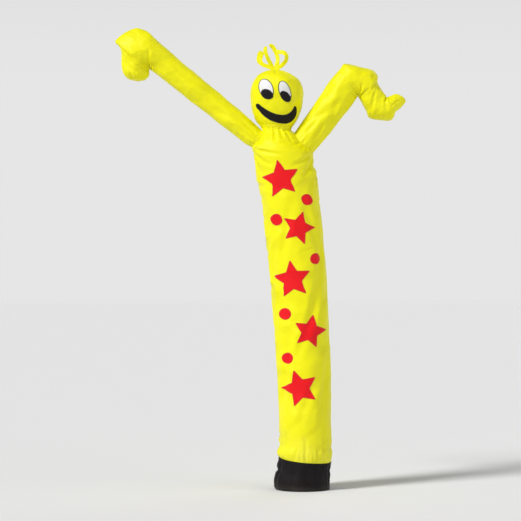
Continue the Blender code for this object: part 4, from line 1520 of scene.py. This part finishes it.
def build_tube(name, skin, stuff, thickness, sewing, keep=None):
    """The cloth of a tube with its seams and stitches."""
    tube = skin_mesh(f"{name}_cloth", skin, finish_named(stuff.cloth), keep)
    thicken(tube, thickness)
    sew_on(tube, name, with_pieces=sewing.build(name, stuff))


def build_sleeve(cloth):
    """The black sleeve with a seam at the back and a hem at either end."""
    skin = sleeve_skin(cloth.slack)
    end = len(skin.points) - 1
    sewing = Sewing(cloth)
    sewing.add_seam(*line_up(skin, BACK_SEAM, np.arange(2.0, end)))
    hems = [skin.row_of(height) for height in LOWER_HEM]
    for row in hems + [end - back / SLEEVE_STEP for back in UPPER_HEM]:
        path, ups = ring_at(skin, row, HEM_LIFT)
        add_stitches(sewing.threads, path, ups, HEM_STITCH * cloth.stitch, loop=True)
    build_tube("base_sleeve", skin, COATED, cloth.sleeve, sewing)


def build_body(cloth):
    """The yellow tube with a hole for each arm, its long seam at the back and its round seams."""
    skin = body_skin(cloth.slack)
    keep = np.ones((len(skin.points) - 1, skin.sides), bool)
    for name in ARMS:
        _, _, share = around_shoulder(skin.points, arm_root(name)[1])
        inside = share < HOLE_SHARE
        inside = inside & np.roll(inside, -1, axis=1)
        keep &= ~(inside[:-1] & inside[1:])
    sewing = Sewing(cloth)
    end = len(skin.points) - BODY_SEAM_END
    rows = np.linspace(skin.row_of(BODY_SEAM_Z), end, BODY_SEAM_POINTS)
    sewing.add_seam(*line_up(skin, BACK_SEAM, rows))
    sewing.add_seam(*ring_at(skin, len(skin.points) - 1), loop=True)
    shoulder_row = (ARM_TUCK + SHOULDER_SEAM_OFF + cloth.seam / 2) / ARM_STEP
    for name in ARMS:
        sewing.add_seam(*ring_at(arm_skin(name, cloth.slack), shoulder_row), loop=True)
    build_tube("body_tube", skin, YELLOW, cloth.nylon, sewing, keep)


def build_arms(cloth):
    """Both arms, each with a seam behind."""
    for name, arm in ARMS.items():
        skin = arm_skin(name, cloth.slack)
        rows = np.linspace(SEAM_ROW, len(skin.points) - ARM_SEAM_END, ARM_SEAM_POINTS)
        sewing = Sewing(cloth)
        sewing.add_seam(*line_up(skin, ARM_SEAM, rows))
        build_tube(name, skin, YELLOW, cloth.nylon, sewing)


def build_head(cloth):
    """The head, of a front and a back half with a seam up each side."""
    skin = head_skin(cloth.slack)
    rows = np.linspace(SEAM_ROW, len(skin.points) - HEAD_SEAM_END, HEAD_SEAM_POINTS)
    sewing = Sewing(cloth)
    for turn in HEAD_SEAMS:
        sewing.add_seam(*line_up(skin, turn, rows))
    build_tube("head", skin, YELLOW, cloth.nylon, sewing)


def build_ribbon(name, bends, cloth):
    """A flat strip along its bends, a little cupped, with a rolled hem all along its edge."""
    table = np.array(bends, float)
    marks = curve_marks(table[:, [0, 1]])
    tip = min(RIBBON_TIP_SHARE * bends[-1].width, RIBBON_TIP)
    round_end = np.radians(np.linspace(0.0, RIBBON_TIP_TURN, RIBBON_END_ROWS))
    at = np.linspace(0.0, marks[-1] - tip, RIBBON_ROWS, endpoint=False)
    at = np.concatenate([at, marks[-1] - tip + tip * np.sin(round_end)])
    x, z, y, width, twist = read_curve(table, marks, at).T
    width[-RIBBON_END_ROWS:] *= np.cos(round_end) ** RIBBON_TIP_FULL
    points = np.stack([BASE_X + x, y, z], axis=-1)
    along = unit(np.gradient(points, axis=0))
    flat = unit(np.cross(along, (0.0, 1.0, 0.0)))
    face = unit(np.cross(flat, along))
    twist = np.radians(twist)[:, None]
    side = flat * np.cos(twist) + face * np.sin(twist)
    out = unit(np.cross(side, along))
    out *= -np.sign(out[:, 1].mean())
    share = np.linspace(-1.0, 1.0, RIBBON_COLUMNS)
    ripple = RIPPLE * np.sin(at[:, None] * RIPPLE_WAVES + RIPPLE_SLANT * share)
    cup = RIBBON_CUP * (1 - share**2) + ripple
    across = share[None] * width[:, None] / 2
    grid = points[:, None] + side[:, None] * across[..., None]
    grid = grid + out[:, None] * cup[..., None]
    uv = np.stack([across, np.broadcast_to(at[:, None], cup.shape)], axis=-1)
    form = Form()
    form.add_grid(grid, uv, np.broadcast_to(out[:, None], grid.shape))
    ribbon = form.build(f"{name}_cloth", finish_named(RIBBON.cloth))
    thicken(ribbon, cloth.ribbon, 0.0)
    hem = Form()
    edge, ups = np.vstack([grid[:, 0], grid[::-1, -1]]), np.vstack([out, out[::-1]])
    sweep(hem, edge, ups, round_profile(*RIBBON_HEM))
    extra = [sew_on(hem.build(f"{name}_hem", finish_named(RIBBON.cloth)), None)]
    sew_on(ribbon, name, extra)


def oval_outline(oval, sides=OVAL_SIDES):
    lean, turn = math.radians(oval.lean), round_turns(sides)
    along, across = oval.half_long * np.cos(turn), oval.half_short * np.sin(turn)
    x = oval.x + along * math.cos(lean) - across * math.sin(lean)
    z = oval.z + along * math.sin(lean) + across * math.cos(lean)
    return np.stack([x, z], axis=-1)


def star_outline(star):
    """A star with its corners a little rounded, as cloth is turned in at them."""
    turn = np.radians(90 + star.lean) + math.pi * np.arange(2 * STAR_POINTS + 1) / STAR_POINTS
    reach = star.reach * np.where(np.arange(len(turn)) % 2, STAR_WAIST, STAR_TIP)
    tips = np.stack([star.x + reach * np.cos(turn), star.z + reach * np.sin(turn)], axis=-1)
    marks = curve_marks(tips)
    at = np.linspace(0.0, marks[-1], round(marks[-1] / STAR_SPACING), endpoint=False)
    return smoothed(read_line(tips, marks, at), STAR_SMOOTHING)


def outline_cut(outline):
    """The smallest upright cut that an outline needs, and its own area."""
    x, z = outline.T
    area = abs((x * np.roll(z, -1) - z * np.roll(x, -1)).sum()) / 2
    return Cut(float(np.ptp(x)), float(np.ptp(z)), float(area))


def finish_patch(name, form, skin, outline, top, cloth, stuff):
    """The piece with its thickness, and the close stitching over its edge as a low rounded strip."""
    patch = form.build(f"{name}_cloth", finish_named(stuff.cloth))
    thicken(patch, cloth.patch)
    path, ups = skin.front(outline[:, 0], outline[:, 1], top - BORDER_SUNK)
    edge = Form()
    sweep(edge, path, ups, round_profile(cloth.border, BORDER_THICKNESS, BORDER_SIDES), loop=True)
    border = sew_on(edge.build(f"{name}_border", finish_named(stuff.thread)), None)
    sew_on(patch, name, with_pieces=[border])


def build_round_patch(name, skin, outline, lift, cloth, stuff, rings):
    """A sewn-on piece that its middle can see all of, such as an oval or a star."""
    centre = outline.mean(axis=0)
    share = (np.arange(1, rings + 1) / rings)[:, None, None]
    flat = centre + (outline - centre)[None] * share
    top = lift + cloth.patch
    points, out = skin.front(flat[..., 0], flat[..., 1], top)
    form = Form()
    uv = joined(flat, 1)
    index = form.add_grid(points, uv, out, loop=True)
    middle, middle_out = skin.front(centre[:1], centre[1:], top)
    form.add_tip(index[0], middle[0], uv[0], centre, middle_out[0])
    finish_patch(name, form, skin, outline, top, cloth, stuff)


def build_mouth(skin, cloth):
    """The crescent of the mouth, as a strip between its upper and lower edge."""
    edges = []
    for middle in (MOUTH_UPPER, MOUTH_LOWER):
        points = np.array((MOUTH_LEFT_TIP,) + middle + (MOUTH_RIGHT_TIP,))
        marks = curve_marks(points)
        share = (1 - np.cos(np.linspace(0, math.pi, MOUTH_ROWS))) / 2
        edges.append(read_curve(points, marks, share * marks[-1]))
    upper, lower = edges
    across = np.linspace(0.0, 1.0, MOUTH_COLUMNS)[None, :, None]
    flat = upper[1:-1, None] * (1 - across) + lower[1:-1, None] * across
    top = MOUTH_LIFT + cloth.patch
    points, out = skin.front(flat[..., 0], flat[..., 1], top)
    form = Form()
    index = form.add_grid(points, flat, out)
    for end in (0, -1):
        tip, tip_out = skin.front(upper[end, :1], upper[end, 1:], top)
        form.add_tip(index[end], tip[0], flat[end], upper[end], tip_out[0])
    outline = np.vstack([upper, lower[-2:0:-1]])
    cut = outline_cut(outline)
    cut = cut._replace(area=max(cut.area, LEAST_SHARE * cut.width * cut.length))
    finish_patch("mouth", form, skin, outline, top, cloth, BLACK)


def build_face(cloth):
    """White ovals edged in black, the pupils over them, and the mouth."""
    skin = head_skin(cloth.slack)
    over_white = TRIM_LIFT + cloth.patch + PUPIL_LIFT
    for ovals, lift, stuff in ((EYES, TRIM_LIFT, WHITE), (PUPILS, over_white, BLACK)):
        for name, oval in ovals.items():
            outline = oval_outline(oval)
            build_round_patch(name, skin, outline, lift, cloth, stuff, OVAL_RINGS)
    build_mouth(skin, cloth)


def build_trim(cloth):
    """The red stars and spots down the front."""
    skin = body_skin(cloth.slack)
    outlines = {name: (star_outline(star), STAR_RINGS) for name, star in STARS.items()}
    outlines |= {name: (oval_outline(oval, SPOT_SIDES), SPOT_RINGS) for name, oval in SPOTS.items()}
    for name, (outline, rings) in outlines.items():
        build_round_patch(name, skin, outline, TRIM_LIFT, cloth, RED, rings)


# Stage --------------------------------------------------------------------------------------------

# The lamps: azimuth from the front and to the right, elevation, share of the key light, and how broad
Lamp = namedtuple("Lamp", "azimuth elevation share angle")
LAMPS = {
    "key": Lamp(azimuth=-52, elevation=40, share=1.0, angle=14),
    "fill": Lamp(azimuth=60, elevation=20, share=0.24, angle=60),
    "rim": Lamp(azimuth=150, elevation=30, share=0.12, angle=40),
}
# Up to where the pale backdrop is at its brightest, and where it has faded, as sines of elevation
BACKDROP_FULL, BACKDROP_GONE = 0.08, 0.42
FLOOR_RADIUS, FLOOR_SIDES, FLOOR_Z, FLOOR_ROUGHNESS, FLOOR_GLOSS = 60, 96, -0.0004, 0.9, 0.1
SENSOR, FARTHEST = 36.0, 200.0


def build_camera(stage):
    data = bpy.data.cameras.new("camera")
    data.sensor_width = SENSOR
    data.lens = SENSOR * stage.camera_distance / stage.view_width
    data.clip_end = FARTHEST
    camera = add_to_scene("camera", data)
    camera.location = (0.0, -stage.camera_distance, stage.camera_height)
    camera.rotation_euler = (math.pi / 2, 0.0, 0.0)
    bpy.context.scene.camera = camera


def build_floor(stage):
    mesh = bpy.data.meshes.new("floor")
    rim = [(math.cos(t), math.sin(t)) for t in round_turns(FLOOR_SIDES)]
    points = [(FLOOR_RADIUS * x, FLOOR_RADIUS * y, FLOOR_Z) for x, y in rim]
    mesh.from_pydata(points, [], [list(range(FLOOR_SIDES))])
    finish = Finish("pale floor")
    mesh.materials.append(finish.surface(opaque(stage.floor), FLOOR_ROUGHNESS, gloss=FLOOR_GLOSS))
    add_to_scene("floor", mesh)


def build_sky(stage):
    """Even light all round, with a brighter belt low down that stands for a pale backdrop."""
    world = bpy.data.worlds.new("even light")
    world.use_nodes = True
    tree = world.node_tree
    background = tree.nodes["Background"]
    way = tree.nodes.new("ShaderNodeSeparateXYZ")
    tree.links.new(tree.nodes.new("ShaderNodeTexCoord").outputs["Generated"], way.inputs[0])
    belt = tree.nodes.new("ShaderNodeMapRange")
    belt.interpolation_type = "SMOOTHSTEP"
    tree.links.new(way.outputs["Z"], belt.inputs["Value"])
    belt.inputs["From Min"].default_value = BACKDROP_FULL
    belt.inputs["From Max"].default_value = BACKDROP_GONE
    belt.inputs["To Min"].default_value = stage.sky + stage.glow
    belt.inputs["To Max"].default_value = stage.sky
    tree.links.new(belt.outputs["Result"], background.inputs["Strength"])
    background.inputs["Color"].default_value = (1.0, 1.0, 1.0, 1.0)
    bpy.context.scene.world = world


def build_lamps(stage):
    """Broad soft lights from far off."""
    for name, lamp in LAMPS.items():
        data = bpy.data.lights.new(name, "SUN")
        data.energy = lamp.share * stage.key
        data.angle = math.radians(lamp.angle)
        turn = (math.radians(90 - lamp.elevation), 0.0, math.radians(lamp.azimuth))
        add_to_scene(name, data).rotation_euler = turn


def build_stage(stage):
    """A level camera in front, a plain pale floor, even light all round and three soft lamps."""
    build_camera(stage)
    build_floor(stage)
    build_sky(stage)
    build_lamps(stage)
    bpy.context.scene.view_settings.view_transform = "Standard"


# The add-on ---------------------------------------------------------------------------------------


class DANCER_OT_stage(bpy.types.Operator):
    """Sets up the camera, the floor and the lights"""

    bl_idname = "dancer.stage"
    bl_label = "Stage"

    def execute(self, context):
        build_stage(context.scene.dancer_stage)
        return {"FINISHED"}


class DANCER_OT_sleeve(bpy.types.Operator):
    """Sews the black sleeve at the foot, which goes over a blower's ring"""

    bl_idname = "dancer.sleeve"
    bl_label = "Base sleeve"

    def execute(self, context):
        build_sleeve(context.scene.dancer_cloth)
        return {"FINISHED"}


class DANCER_OT_body(bpy.types.Operator):
    """Sews the yellow tube from the sleeve to the neck"""

    bl_idname = "dancer.body"
    bl_label = "Body tube"

    def execute(self, context):
        build_body(context.scene.dancer_cloth)
        return {"FINISHED"}


class DANCER_OT_arms(bpy.types.Operator):
    """Sews the two arms with their hands"""

    bl_idname = "dancer.arms"
    bl_label = "Arms"

    def execute(self, context):
        build_arms(context.scene.dancer_cloth)
        return {"FINISHED"}


class DANCER_OT_head(bpy.types.Operator):
    """Sews the head onto the neck"""

    bl_idname = "dancer.head"
    bl_label = "Head"

    def execute(self, context):
        build_head(context.scene.dancer_cloth)
        return {"FINISHED"}


class DANCER_OT_hair(bpy.types.Operator):
    """Sews the ribbons onto the crown"""

    bl_idname = "dancer.hair"
    bl_label = "Hair ribbons"

    def execute(self, context):
        for name, bends in RIBBONS.items():
            build_ribbon(name, bends, context.scene.dancer_cloth)
        return {"FINISHED"}


class DANCER_OT_face(bpy.types.Operator):
    """Sews the eyes, pupils and mouth onto the head"""

    bl_idname = "dancer.face"
    bl_label = "Face"

    def execute(self, context):
        build_face(context.scene.dancer_cloth)
        return {"FINISHED"}


class DANCER_OT_trim(bpy.types.Operator):
    """Sews the stars and spots down the front"""

    bl_idname = "dancer.trim"
    bl_label = "Stars and spots"

    def execute(self, context):
        build_trim(context.scene.dancer_cloth)
        return {"FINISHED"}


STEPS = (
    DANCER_OT_stage,
    DANCER_OT_sleeve,
    DANCER_OT_body,
    DANCER_OT_arms,
    DANCER_OT_head,
    DANCER_OT_hair,
    DANCER_OT_face,
    DANCER_OT_trim,
)


class DANCER_PT_panel(bpy.types.Panel):
    """Lists the steps and the sizes and colours that they use"""

    bl_idname = "DANCER_PT_panel"
    bl_label = "Air dancer"
    bl_space_type = "VIEW_3D"
    bl_region_type = "UI"
    bl_category = "Air dancer"

    def draw(self, context):
        for step in STEPS:
            self.layout.operator(step.bl_idname)
        for group in ("dancer_cloth", "dancer_colours", "dancer_stage"):
            settings = getattr(context.scene, group)
            box = self.layout.box()
            for key in settings.__annotations__:
                box.prop(settings, key)


GROUPS = {
    "dancer_cloth": DancerCloth,
    "dancer_colours": DancerColours,
    "dancer_stage": DancerStage,
}


def register():
    for kind in (*GROUPS.values(), *STEPS, DANCER_PT_panel):
        bpy.utils.register_class(kind)
    for key, kind in GROUPS.items():
        setattr(bpy.types.Scene, key, PointerProperty(type=kind))


def unregister():
    for key in GROUPS:
        delattr(bpy.types.Scene, key)
    for kind in (DANCER_PT_panel, *reversed(STEPS), *GROUPS.values()):
        bpy.utils.unregister_class(kind)


def main():
    register()
    for step in STEPS:
        group, name = step.bl_idname.split(".")
        getattr(getattr(bpy.ops, group), name)()


if __name__ == "__main__":
    main()
